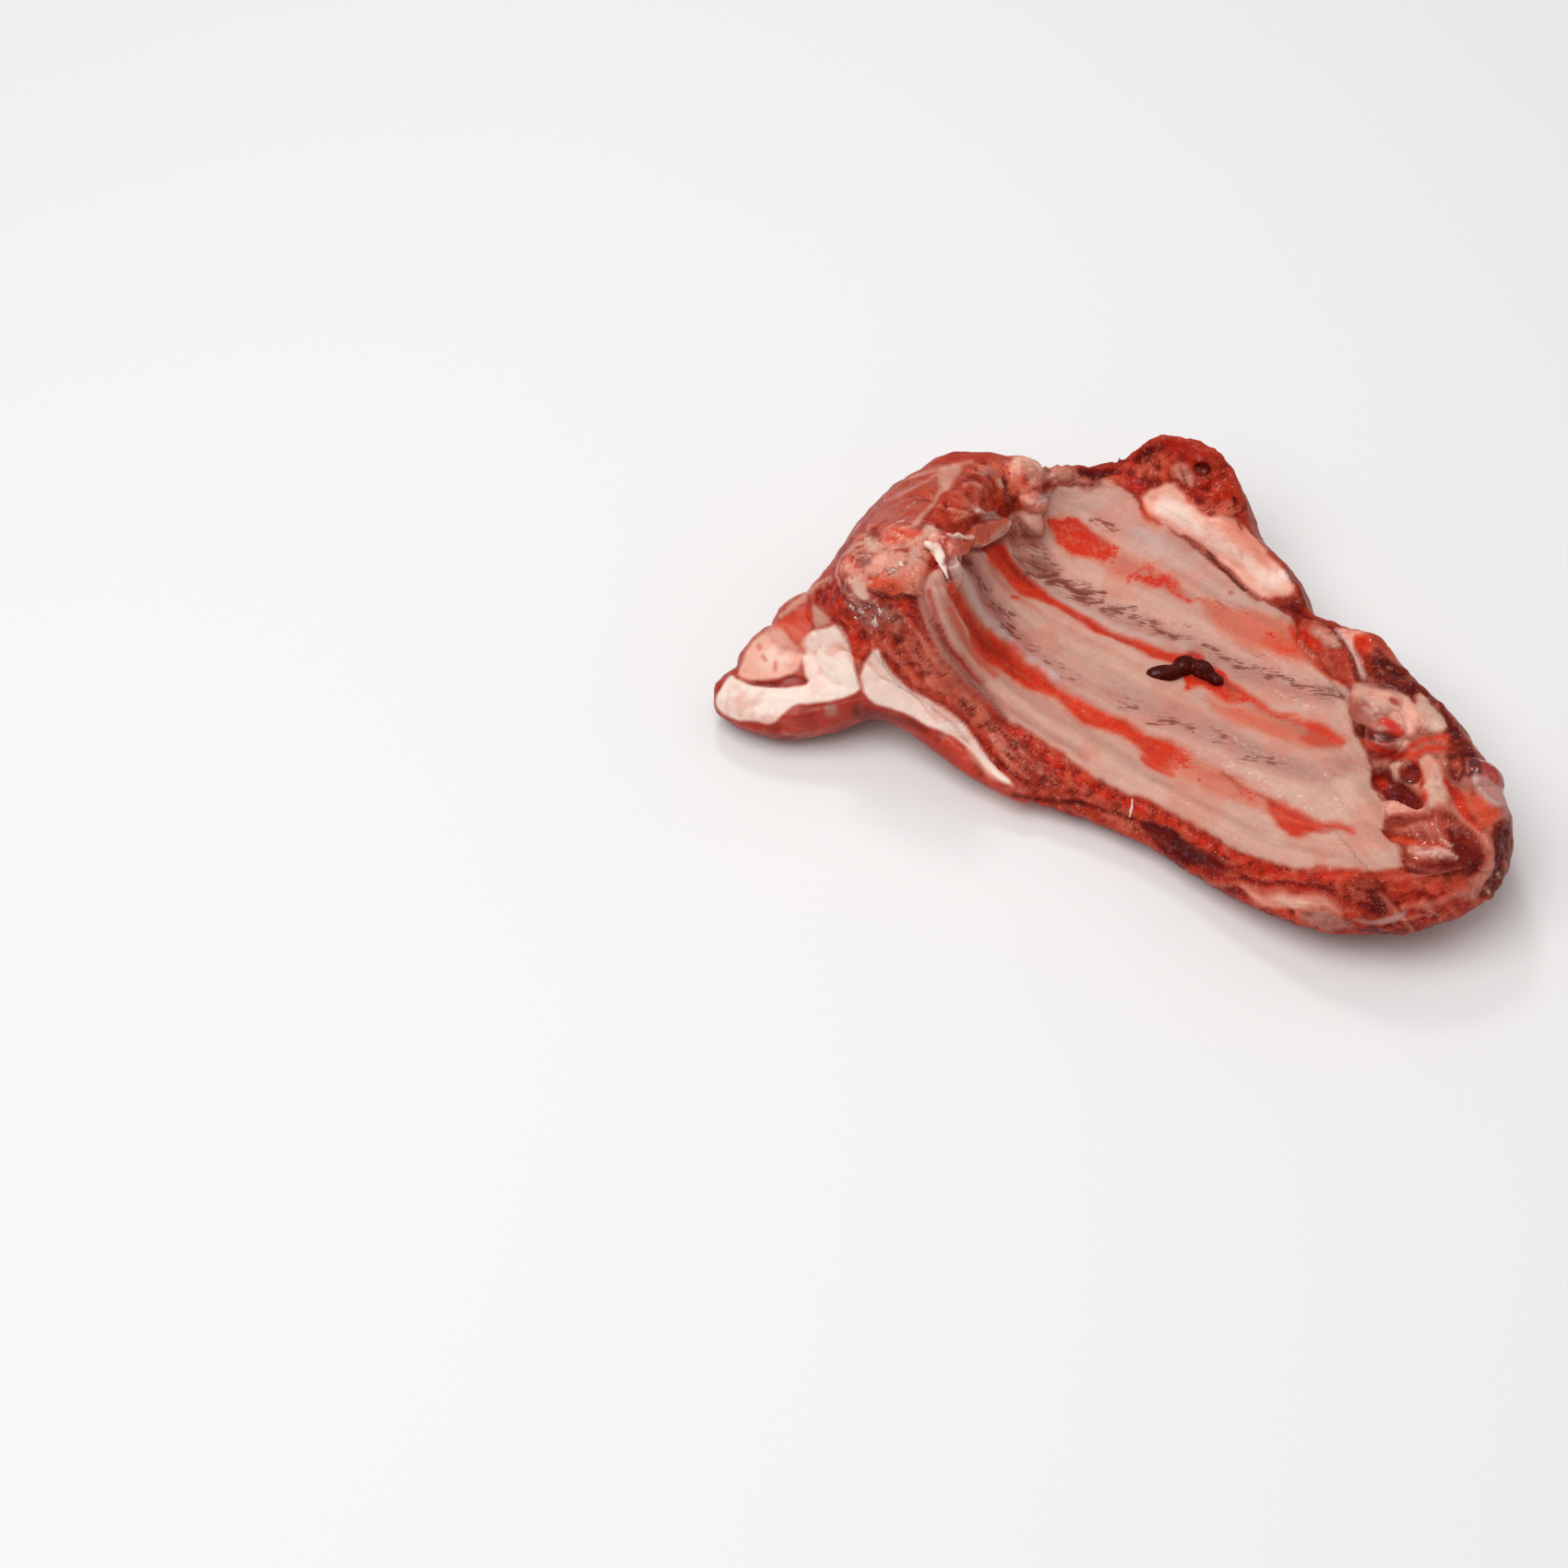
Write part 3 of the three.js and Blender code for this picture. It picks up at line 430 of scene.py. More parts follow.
LEFT_RED_STRIP = (
    (776, 784), (796, 782), (820, 784), (838, 786), (850, 773), (864, 765), (896, 763), (912, 761),
    (936, 757), (950, 764), (986, 776), (1008, 789), (1028, 798), (1048, 812), (1070, 836), (1092, 856),
    (1086, 876), (1056, 850), (1024, 818), (996, 796), (980, 786), (940, 786), (924, 804), (880, 806),
    (830, 802), (784, 790),
)
STRIP_DARK = ((924, 764), (944, 764), (986, 778), (1010, 792), (1004, 798), (980, 784), (940, 778), (920, 780))
STRIP_RED = ((1008, 792), (1030, 800), (1056, 826), (1086, 858), (1060, 844), (1030, 816))
STRIP_GREY = ((892, 764), (906, 763), (908, 776), (898, 776))
STRIP_FOOT = ((784, 790), (830, 800), (880, 803), (922, 800))

# The long lower wall, from the lining's near edge down to the ground.
WALL = LINING_NEAR_EDGE[6:] + (
    (1560, 950), (1600, 940), (1642, 960), (1642, 985), (1583, 1006), (1515, 1016), (1495, 1026),
    (1420, 1008), (1380, 1002), (1300, 974), (1260, 934), (1215, 903), (1152, 892), (1090, 868),
    (1060, 842), (1100, 838), (1110, 820),
)
TOOTH_LINE = (
    (1098, 790), (1122, 812), (1146, 828), (1170, 842), (1194, 858), (1220, 874), (1246, 882), (1266, 892),
    (1290, 906), (1318, 920), (1344, 934), (1372, 944), (1400, 950), (1436, 953), (1476, 954),
)
TOOTH_THREADS = (
    ((1104, 800), (1112, 826)), ((1124, 806), (1130, 834)), ((1140, 816), (1144, 846)), ((1156, 824), (1160, 852)),
    ((1174, 836), (1178, 858)), ((1190, 842), (1196, 866)), ((1208, 854), (1214, 876)), ((1272, 886), (1280, 902)),
    ((1326, 916), (1334, 930)), ((1402, 944), (1406, 954)), ((1422, 946), (1426, 958)),
)
WALL_TOP_FIBRES = ((1096, 838), (1130, 848), (1170, 858), (1206, 870), (1232, 884)), ((1110, 852), (1150, 862), (1190, 870), (1224, 884))
WALL_DARK_LINE = ((1098, 862), (1130, 866), (1166, 871), (1200, 878), (1228, 890), (1252, 898), (1276, 906))
WALL_LOW_RED = ((1150, 870), (1186, 878), (1220, 888), (1236, 900), (1214, 897), (1180, 890), (1154, 882))
WALL_DARK = (
    (1232, 892), (1256, 898), (1280, 906), (1306, 922), (1328, 938), (1348, 954), (1330, 948), (1304, 940),
    (1288, 938), (1276, 946), (1264, 934), (1248, 914),
)
WALL_DEEP = ((1268, 908), (1290, 914), (1312, 932), (1300, 936), (1284, 934), (1270, 924))
WALL_STREAKS = ((1300, 941), (1322, 944), (1350, 954)), ((1280, 900), (1306, 914), (1332, 936)), ((1310, 950), (1340, 960))
WALL_PALE_STREAK = ((1306, 954), (1322, 958), (1342, 960), (1330, 964), (1312, 962))
WALL_RED_LINE = ((1340, 954), (1372, 957), (1404, 958), (1432, 964), (1456, 972), (1482, 984), (1500, 992))
WALL_PALE = (
    (1342, 962), (1364, 962), (1392, 966), (1420, 970), (1444, 978), (1462, 990), (1440, 992), (1412, 986),
    (1384, 982), (1358, 974),
)
WALL_CREAM = ((1380, 970), (1404, 970), (1424, 976), (1416, 984), (1394, 980))
WALL_LOW_LINE = ((1376, 984), (1400, 990), (1424, 992))
WALL_LOW_FAT = ((1402, 988), (1436, 990), (1466, 996), (1470, 1010), (1444, 1008), (1416, 1002))
WALL_LOW_RED_EDGE = ((1300, 964), (1330, 970), (1366, 982), (1400, 994), (1380, 996), (1340, 982), (1304, 970))
WALL_GLINTS = ((1283, 944), (1288, 951)), ((1288, 942), (1292, 948)), ((1292, 950), (1294, 954)), ((1168, 874), (1178, 876))
WALL_KNOT = ((1462, 954), (1486, 952), (1508, 958), (1514, 974), (1500, 988), (1480, 980), (1464, 968))
KNOT_EYE = ((1488, 964), (1502, 966), (1506, 976), (1494, 980), (1486, 974))
KNOT_THREADS = ((1462, 962), (1474, 968), (1480, 978)), ((1470, 960), (1484, 962), (1496, 960)), ((1450, 968), (1468, 978), (1484, 986))
WALL_LILAC = ((1464, 992), (1484, 998), (1500, 996), (1514, 989), (1528, 984), (1524, 994), (1506, 1003), (1482, 1003))
FOOT_CORNER = ((1468, 1006), (1490, 1004), (1512, 1010), (1496, 1024), (1480, 1018))

# The far border: the ragged peak, the fat ridge below it and the flap beyond.
PEAK = (
    (1212, 512), (1232, 492), (1250, 480), (1262, 464), (1278, 466), (1300, 480), (1312, 488), (1320, 484),
    (1334, 500), (1346, 526), (1356, 552), (1354, 564), (1338, 556), (1318, 562), (1300, 556), (1284, 538),
    (1270, 528), (1256, 534), (1240, 536), (1226, 528),
)
PEAK_TOP = ((1256, 480), (1264, 466), (1282, 472), (1306, 490), (1326, 504), (1316, 514), (1296, 506), (1276, 494), (1262, 496))
PEAK_MAROON = ((1238, 490), (1256, 482), (1262, 492), (1256, 502), (1242, 504), (1232, 500))
PEAK_GRANULES = ((1234, 504), (1252, 498), (1268, 500), (1268, 516), (1258, 524), (1244, 520), (1232, 516))
PEAK_RED_FOOT = ((1218, 516), (1232, 512), (1242, 524), (1240, 536), (1228, 530))
PEAK_GREY = ((1270, 508), (1278, 502), (1290, 504), (1296, 516), (1294, 528), (1280, 524), (1272, 518))
PEAK_GREY_LINE = ((1281, 508), (1284, 522), (1292, 534))
PEAK_HOLE = ((1296, 504), (1308, 502), (1316, 510), (1306, 518), (1298, 514))
PEAK_CHUNKS = ((1300, 522), (1318, 518), (1336, 528), (1346, 544), (1334, 548), (1316, 540), (1304, 534))
PEAK_PINK = ((1318, 548), (1330, 542), (1344, 548), (1346, 558), (1328, 562), (1318, 558))
PEAK_GLINTS = ((1282, 488), (1285, 492)), ((1318, 524), (1322, 528)), ((1300, 498), (1304, 500)), ((1306, 512), (1308, 514)), ((1248, 510), (1252, 513)), ((1326, 552), (1330, 556))
PEAK_STREAK = ((1290, 536), (1300, 544), (1310, 555))
FAT_RIDGE = (
    (1236, 548), (1242, 534), (1256, 530), (1270, 522), (1282, 534), (1296, 548), (1306, 560), (1330, 560),
    (1350, 572), (1364, 588), (1384, 606), (1400, 622), (1404, 636), (1392, 646), (1372, 652), (1356, 642),
    (1338, 624), (1318, 606), (1296, 588), (1276, 578), (1252, 570),
)
RIDGE_WHITE = (
    (1252, 552), (1266, 538), (1282, 542), (1300, 566), (1320, 572), (1338, 590), (1350, 612), (1338, 606),
    (1320, 592), (1300, 580), (1276, 568), (1258, 562),
)
RIDGE_WHITE_LOW = ((1346, 598), (1360, 604), (1380, 618), (1394, 634), (1380, 644), (1364, 634), (1350, 616))
RIDGE_NUB = ((1386, 620), (1392, 617), (1400, 621), (1400, 630), (1390, 630))
RIDGE_BLUSH = ((1322, 562), (1344, 568), (1360, 588), (1380, 608), (1368, 612), (1350, 596), (1330, 576))
RIDGE_ORANGE = ((1360, 600), (1376, 612), (1380, 624), (1364, 618))
RIDGE_NOTCH = ((1343, 567), (1347, 576))
RIDGE_RED_EDGE = ((1376, 600), (1386, 608), (1396, 618))
RIDGE_DARK_EDGE = ((1399, 622), (1408, 636), (1414, 650))
RIDGE_BACK = ((1234, 540), (1238, 552), (1244, 562), (1254, 568))
CREVICE = ((1284, 582), (1296, 588), (1310, 598), (1322, 612), (1336, 626), (1350, 640), (1364, 652))
CREVICE_DEEP = ((1308, 598), (1320, 609), (1334, 624), (1350, 640))
BELOW_CREVICE = ((1296, 600), (1316, 616), (1336, 636), (1356, 652), (1384, 668))
KNOT = ((1378, 652), (1392, 646), (1410, 644), (1416, 654), (1410, 665), (1396, 664), (1386, 658))
FLAP_LUMPS = (
    (1408, 670), (1426, 668), (1446, 680), (1458, 692), (1468, 708), (1473, 728), (1472, 740), (1458, 740),
    (1442, 734), (1428, 722), (1418, 706), (1410, 690),
)
FLAP_GREY = ((1418, 680), (1436, 680), (1452, 690), (1460, 704), (1446, 704), (1430, 696))
FLAP_RED = ((1410, 680), (1420, 684), (1432, 698), (1432, 712), (1422, 708), (1412, 694))
FLAP_LUMP = ((1444, 708), (1456, 706), (1466, 716), (1468, 730), (1456, 728), (1446, 718))
FLAP_DARK_EDGE = ((1414, 668), (1432, 673), (1446, 682), (1460, 698), (1469, 714), (1472, 738))
FLAP_THREAD = ((1409, 694), (1416, 706), (1424, 716))
FLAP_EDGE = ((1450, 682), (1465, 700), (1474, 718), (1478, 736))
PALE_FLAP = ((1448, 679), (1478, 680), (1480, 690), (1470, 694), (1470, 708), (1478, 722), (1481, 736), (1474, 736), (1468, 712), (1460, 696))

# The breast end, where dark muscle, fat and gristle lie in pockets side by side.
BREAST_END = (
    (1476, 682), (1492, 702), (1512, 713), (1533, 724), (1548, 745), (1568, 768), (1590, 795),
    (1608, 838), (1636, 862), (1644, 905), (1644, 976), (1604, 984), (1560, 960), (1524, 946),
    (1500, 885), (1487, 826), (1468, 786), (1462, 748), (1478, 736), (1472, 704),
)
BREAST_RED_TAG = ((1469, 690), (1482, 688), (1490, 702), (1480, 712), (1472, 704))
BREAST_RIM = (
    (1482, 704), (1494, 702), (1510, 714), (1532, 724), (1548, 744), (1566, 766), (1572, 780), (1588, 792),
    (1600, 820), (1610, 840), (1596, 846), (1588, 842), (1582, 850), (1572, 842), (1568, 826), (1572, 806),
    (1562, 796), (1568, 786), (1556, 768), (1544, 758), (1534, 752), (1530, 764), (1524, 754), (1506, 746),
    (1492, 740), (1480, 730), (1478, 716),
)
RIM_BLACK = ((1486, 712), (1500, 712), (1514, 724), (1520, 742), (1504, 740), (1490, 730))
RIM_BLACK_LOW = ((1574, 796), (1586, 796), (1596, 818), (1602, 836), (1592, 826), (1580, 812))
RIM_GREY = ((1572, 824), (1582, 822), (1584, 842), (1576, 842))
RIM_GLINTS = ((1496, 728), (1500, 732)), ((1504, 724), (1508, 726)), ((1556, 766), (1560, 772)), ((1590, 826), (1592, 838))
BREAST_PALE = (
    (1462, 744), (1478, 742), (1500, 748), (1522, 756), (1534, 766), (1540, 784), (1534, 800), (1520, 802),
    (1514, 790), (1504, 776), (1486, 762), (1466, 758),
)
PALE_KNOB = ((1466, 744), (1480, 744), (1490, 752), (1482, 760), (1468, 758))
ORANGE_KNOB = ((1482, 762), (1496, 762), (1506, 772), (1500, 778), (1488, 772))
BREAST_DOT = ((1504, 758), (1514, 758), (1518, 766), (1508, 766))
BREAST_WHITE = ((1538, 752), (1546, 758), (1556, 772), (1568, 784), (1568, 794), (1552, 796), (1540, 786), (1534, 770))
WHITE_SHINE = ((1548, 784), (1560, 784), (1566, 792), (1552, 794))
BREAST_ORANGE = ((1494, 780), (1508, 780), (1518, 790), (1522, 800), (1508, 796), (1500, 788))
POCKET_ONE = ((1468, 788), (1480, 786), (1492, 792), (1508, 794), (1520, 801), (1500, 804), (1480, 801), (1472, 796))
POCKET_ONE_RED = ((1472, 804), (1486, 803), (1500, 808), (1512, 812), (1530, 820), (1524, 824), (1498, 822), (1482, 814))
CREAM_LUMP = ((1514, 804), (1526, 802), (1532, 810), (1522, 818), (1514, 812))
RED_STRANDS = ((1532, 812), (1544, 804), (1558, 800), (1570, 802)), ((1540, 818), (1550, 812), (1566, 812)), ((1552, 824), (1562, 834), (1566, 846))
POCKET_TWO = (
    (1487, 834), (1500, 832), (1512, 838), (1522, 850), (1536, 858), (1542, 870), (1536, 880), (1522, 870),
    (1506, 869), (1498, 858), (1488, 846),
)
POCKET_TWO_RED = ((1489, 836), (1500, 838), (1508, 850), (1504, 862), (1496, 854), (1489, 845))
CREAM_TRIANGLE = ((1504, 828), (1522, 826), (1518, 838), (1516, 846), (1510, 838))
POCKET_THREE = ((1516, 838), (1522, 830), (1536, 824), (1542, 836), (1536, 848), (1524, 850))
RED_SPECKS = ((1530, 822), (1540, 830), (1544, 842), (1540, 852)), ((1524, 818), (1536, 820), (1546, 826))
PALE_BETWEEN = (
    (1538, 828), (1550, 818), (1560, 826), (1566, 842), (1572, 866), (1566, 878), (1552, 882), (1546, 872),
    (1542, 856), (1546, 844),
)
RED_RING = ((1540, 858), (1547, 858), (1549, 868), (1543, 874))
PALE_SHELF = ((1498, 870), (1518, 870), (1534, 878), (1556, 880), (1540, 884), (1500, 884))
END_MUSCLE = (
    (1499, 886), (1520, 882), (1544, 881), (1562, 878), (1578, 884), (1594, 896), (1606, 910), (1614, 928),
    (1606, 942), (1590, 956), (1566, 962), (1540, 958), (1522, 944), (1518, 930), (1522, 916), (1504, 912),
)
MUSCLE_DARK = ((1574, 892), (1588, 900), (1604, 914), (1610, 930), (1598, 940), (1574, 934), (1572, 914))
MUSCLE_PINK = ((1512, 892), (1530, 888), (1552, 886), (1562, 898), (1556, 910), (1536, 904), (1516, 900))
MUSCLE_PALE_LINES = ((1528, 892), (1534, 904), (1548, 914)), ((1556, 884), (1560, 900), (1570, 914)), ((1536, 888), (1548, 900), (1552, 910)), ((1576, 892), (1582, 904))
MUSCLE_RED = ((1498, 904), (1516, 904), (1538, 906), (1532, 914), (1508, 913))
PALE_LENS = ((1520, 918), (1540, 914), (1566, 914), (1580, 926), (1560, 930), (1536, 928))
# Painted highlights: white glint streaks on the wet breast muscle.
WET_GLINT_STREAKS = ((1556, 920), (1568, 926), (1580, 928)), ((1538, 922), (1556, 924)), ((1562, 908), (1574, 916)), ((1540, 948), (1552, 948))
RED_CREASE = ((1538, 914), (1558, 914), (1572, 918))
POCKET_FIVE = ((1520, 940), (1536, 934), (1560, 930), (1586, 930), (1606, 934), (1600, 948), (1570, 954), (1540, 952))
FIVE_PALE_LINE = ((1532, 948), (1548, 950), (1570, 944), (1586, 942))
LOW_MUSCLE = ((1520, 952), (1560, 962), (1596, 954), (1590, 966), (1560, 976), (1524, 972), (1512, 960))
LOW_VIVID = ((1540, 966), (1556, 962), (1572, 968), (1566, 984), (1548, 978))
BREAST_RED = (
    (1564, 842), (1576, 852), (1588, 860), (1596, 878), (1606, 892), (1608, 908), (1598, 900), (1584, 884),
    (1572, 864),
)
BREAST_ORANGE_LOW = ((1590, 858), (1606, 862), (1626, 872), (1622, 888), (1612, 900), (1602, 884))
FAT_ARC = (
    (1560, 878), (1578, 880), (1592, 890), (1604, 902), (1612, 914), (1617, 926), (1614, 940), (1604, 950),
    (1590, 962), (1576, 972), (1560, 978), (1542, 978), (1522, 980),
)
END_DARK = (
    (1616, 896), (1628, 884), (1638, 892), (1644, 915), (1642, 945), (1644, 965), (1628, 982), (1610, 976),
    (1604, 964), (1614, 946), (1622, 926),
)
END_BLACK = ((1620, 900), (1632, 898), (1638, 920), (1636, 946), (1624, 944), (1624, 920))
END_SPOTS = ((1610, 962), (1613, 967)), ((1622, 946), (1625, 950)), ((1630, 954), (1632, 958)), ((1596, 972), (1600, 976))
JELLY = ((1592, 844), (1606, 838), (1632, 857), (1632, 872), (1620, 878), (1606, 864))
# A painted highlight: a glint line along the gristle.
JELLY_GLINT_LINE = ((1600, 850), (1608, 862), (1618, 872), (1628, 872))
END_LOW_RED = ((1526, 984), (1560, 986), (1590, 976), (1606, 966), (1618, 982), (1590, 998), (1550, 1010), (1524, 1004))
LOW_FIBRES = ((1546, 984), (1558, 990), (1562, 998)), ((1540, 976), (1552, 984)), ((1524, 996), (1540, 990), (1552, 992))
END_FOOT = ((1515, 1009), (1560, 1007), (1590, 994), (1612, 984), (1628, 980))
END_FOOT_LINE = ((1500, 1014), (1520, 1008), (1560, 1008))


def rounded(points, closed):
    """The outline with each corner cut off, so that it bends instead of turning sharply."""
    ends = np.roll(points, -1, axis=0)
    if not closed:
        points, ends = points[:-1], ends[:-1]
    near = points * (1 - CORNER_CUT) + ends * CORNER_CUT
    far = points * CORNER_CUT + ends * (1 - CORNER_CUT)
    cut = np.stack((near, far), 1).reshape(-1, 2)
    if not closed:
        cut[0], cut[-1] = points[0], ends[-1]
    return cut


SEEN_ROUNDS = 10
THREAD_RINGS = 14
THREAD_SIDES = 10
FAT_THREADS = (
    (((1013, 594), 1.7, -0.3), ((1018, 601), 1.5, 0.4), ((1023, 611), 1.0, 1.2), ((1028, 624), 0.25, 1.2)),
    (((1002, 588), 0.5, 0.0), ((1008, 592), 1.0, 0.1), ((1014, 598), 1.0, 0.3), ((1019, 603), 0.5, 0.5)),
    (((1228, 866), 0.25, 0.2), ((1228, 874), 0.35, 0.6), ((1225, 885), 0.2, 0.3)),
    (((1030, 583), 0.3, 0.0), ((1038, 581), 0.7, 0.2), ((1048, 584), 0.25, 0.1)),
)


class Stroke:
    """One area or line of the slab's skin, in the photograph's pixels, and how it looks and stands.

    tone names a colour of RibColours, share is how far it covers what is below, soft and wide are
    in pixels, lift is in millimetres and marks are shares of the shader's masks."""

    def __init__(self, points, tone=None, share=1.0, wide=None, soft=3.0, ragged=2.5, lift=0.0, **marks):
        self.closed = wide is None
        self.points = rounded(np.array(points, float), self.closed)
        self.tone = tone
        self.share = share
        self.wide = wide or 0.0
        self.soft = soft
        self.ragged = ragged
        self.lift = lift
        self.marks = marks

    def distance(self, across, down):
        """Pixels to the line, or to the area's border, where inside is below zero."""
        nearest = np.full(across.shape, np.inf)
        within = np.zeros(across.shape, bool)
        ends = np.roll(self.points, -1, axis=0)
        last = len(self.points) if self.closed else len(self.points) - 1
        for (ax, ay), (bx, by) in zip(self.points[:last], ends[:last]):
            dx, dy = bx - ax, by - ay
            part = np.clip(((across - ax) * dx + (down - ay) * dy) / (dx * dx + dy * dy), 0, 1)
            nearest = np.minimum(nearest, np.hypot(across - ax - part * dx, down - ay - part * dy))
            if self.closed and dy:
                between = (ay > down) != (by > down)
                within ^= between & (across < dx * (down - ay) / dy + ax)
        return np.where(within, -nearest, nearest)

    def cover(self, skin):
        """The points that the stroke reaches, and its weight at each."""
        margin = self.wide + self.soft + 2 * self.ragged
        low = self.points.min(0) - margin
        high = self.points.max(0) + margin
        across, down = skin.pixels[:, 0], skin.pixels[:, 1]
        near = (across > low[0]) & (across < high[0]) & (down > low[1]) & (down < high[1])
        reached = np.flatnonzero(near & (skin.seen > 0.01))
        warp = skin.warp[reached] * self.ragged
        away = self.distance(across[reached] + warp[:, 0], down[reached] + warp[:, 1])
        weight = (1 - ease(-self.soft, self.soft, away - self.wide)) * skin.seen[reached]
        return reached, weight


def ease(low, high, value):
    """0 below low, 1 above high, and smooth between them."""
    part = np.clip((value - low) / (high - low), 0, 1)
    return part * part * (3 - 2 * part)


def scattered(cells, seed):
    """A number from -1 to 1 for each whole cell, the same in every run."""
    mixed = cells[:, 0] * 374761393 + cells[:, 1] * 668265263 + cells[:, 2] * 1440662683 + seed * 974634777
    mixed = (mixed ^ (mixed >> 13)) & 0x7FFFFFFF
    mixed = (mixed * 1274126177) & 0x7FFFFFFF
    mixed = (mixed ^ (mixed >> 16)) & 0xFFFFFF
    return mixed / float(0x7FFFFF) - 1


def ripple(points, size, seed):
    """Smooth noise from -1 to 1 at points in millimetres, with bumps of that size."""
    grid = points / size + 1000.0
    cell = np.floor(grid).astype(np.int64)
    part = grid - cell
    part = part * part * (3 - 2 * part)
    total = np.zeros(len(points))
    for corner in product((0, 1), repeat=3):
        weight = np.prod(np.where(corner, part, 1 - part), axis=1)
        total += weight * scattered(cell + corner, seed)
    return total


def crumpled(points, size, seed, layers=3):
    """Ripples of smaller and smaller size added up."""
    total = np.zeros(len(points))
    for layer in range(layers):
        total += ripple(points, size * 0.52 ** layer, seed + layer) * 0.55 ** layer
    return total


def ridged(points, size, seed):
    """Noise with narrow creases between rounded cells, from 0 at a crease to 1."""
    return np.minimum(1, np.abs(ripple(points, size, seed)) * 2.2)


class Skin:
    """A fine mesh as arrays, with the place of each point in the photograph's frame."""

    def __init__(self, mesh):
        self.mesh = mesh
        count = len(mesh.vertices)
        flat = np.zeros(count * 3)
        mesh.vertices.foreach_get("co", flat)
        self.points = flat.reshape(-1, 3)
        corners = np.zeros(len(mesh.loops), int)
        mesh.loops.foreach_get("vertex_index", corners)
        self.quads = corners.reshape(-1, 4)
        edges = np.zeros(len(mesh.edges) * 2, int)
        mesh.edges.foreach_get("vertices", edges)
        self.edges = edges.reshape(-1, 2)
        self.degree = np.maximum(1, np.bincount(self.edges.ravel(), minlength=count))

    def spread(self, values):
        """The mean of each point's neighbours."""
        first, second = self.edges[:, 0], self.edges[:, 1]
        count = len(self.points)
        columns = [
            np.bincount(first, values[second, axis], count) + np.bincount(second, values[first, axis], count)
            for axis in range(values.shape[1])
        ]
        return np.stack(columns, 1) / self.degree[:, None]

    def smooth(self, rounds, inward=0.5, outward=-0.53):
        """Irons out facets and steps and keeps the larger form at its size."""
        for _ in range(rounds):
            for pull in (inward, outward):
                self.points = self.points + pull * (self.spread(self.points) - self.points)

    def find_normals(self):
        a, b, c, d = (self.points[self.quads[:, corner]] for corner in range(4))
        face = np.cross(c - a, d - b)
        total = np.zeros_like(self.points)
        for axis in range(3):
            for corner in range(4):
                total[:, axis] += np.bincount(self.quads[:, corner], face[:, axis], len(self.points))
        self.normals = total / np.maximum(1e-12, np.linalg.norm(total, axis=1))[:, None]

    def place(self):
        """Finds each point's pixel, how far it faces the camera, and its place along the ribs."""
        away = self.points - EYE
        depth = away @ SIGHT
        across = FRAME_PX / 2 + FOCAL_PX * (away @ RIGHT) / depth
        down = FRAME_PX / 2 - FOCAL_PX * (away @ UP) / depth
        self.pixels = np.stack((across, down), 1)
        facing = -(self.normals * away).sum(1) / np.linalg.norm(away, axis=1)
        self.seen = ease(-0.05, 0.22, facing)
        for _ in range(SEEN_ROUNDS):
            self.seen = self.spread(self.seen[:, None])[:, 0]
        self.mm = self.points / MM
        x, y, z = self.mm.T
        along = x * math.cos(RIB_TURN) - y * math.sin(RIB_TURN) + ORIGIN_ALONG
        beside = x * math.sin(RIB_TURN) + y * math.cos(RIB_TURN) + ORIGIN_ACROSS
        self.slab_place = np.stack((along, beside, z), 1)
        coarse = [ripple(self.mm, 6.0, seed) for seed in (11, 12)]
        fine = [ripple(self.mm, 1.7, seed) for seed in (13, 14)]
        self.warp = np.stack([a + 0.3 * b for a, b in zip(coarse, fine)], 1)
        self.rib_place = self.find_rib_place()

    def find_rib_place(self):
        """Millimetres along and across the curved ribs, worked out between the lining's curves."""
        turned = np.array((
            (math.cos(CURVE_TURN), math.sin(CURVE_TURN)), (-math.sin(CURVE_TURN), math.cos(CURVE_TURN)),
        ))
        ahead, aside = (self.pixels @ turned.T).T
        offsets = []
        heights = []
        for curve, height in LINING_CURVES:
            knots = np.array(curve, float) @ turned.T
            order = np.argsort(knots[:, 0])
            offsets.append(np.interp(ahead, knots[order, 0], knots[order, 1]))
            heights.append(height)
        across = heights[0] - (aside - offsets[0]) / PX_PER_MM
        for index in range(len(offsets) - 1):
            low, high = offsets[index], offsets[index + 1]
            part = (low - aside) / np.maximum(1.0, low - high)
            value = heights[index] + part * (heights[index + 1] - heights[index])
            across = np.where(aside < low, value, across)
        return np.stack((ahead / PX_PER_MM, across, np.zeros(len(across))), 1)

    def push(self, amount):
        """Moves each point along its normal by that many millimetres."""
        self.points = self.points + self.normals * (amount * MM)[:, None]

    def write(self, name, masks):
        """Puts the points, the colours and the masks into the mesh."""
        mesh = self.mesh
        mesh.vertices.foreach_set("co", self.points.ravel())
        tone = mesh.attributes.new("tone", "FLOAT_COLOR", "POINT")
        linear = without_shine(self.tone)
        tone.data.foreach_set("color", np.column_stack((linear, np.ones(len(linear)))).ravel())
        way = mesh.attributes.new("way", "FLOAT_VECTOR", "POINT")
        way.data.foreach_set("vector", self.way.ravel())
        for mask in masks:
            layer = mesh.attributes.new(mask, "FLOAT", "POINT")
            layer.data.foreach_set("value", self.marks[mask])
        mesh.polygons.foreach_set("use_smooth", np.ones(len(mesh.polygons), bool))
        mesh.update()
        mesh.name = name


def within_box(points):
    """The points, moved into the solid part's own box and not below the floor."""
    low, high = (np.array(corner) for corner in CAD_BOX)
    return np.clip(points, np.maximum(low, (-1, -1, 0)), high)


def without_shine(tone):
    """A screen colour as the light that the surface itself gives back, less what its shine adds."""
    linear = np.where(tone <= 0.04045, tone / 12.92, ((tone + 0.055) / 1.055) ** 2.4)
    return np.maximum(linear - SHINE_ADDS, linear * DARKEST_SHARE)


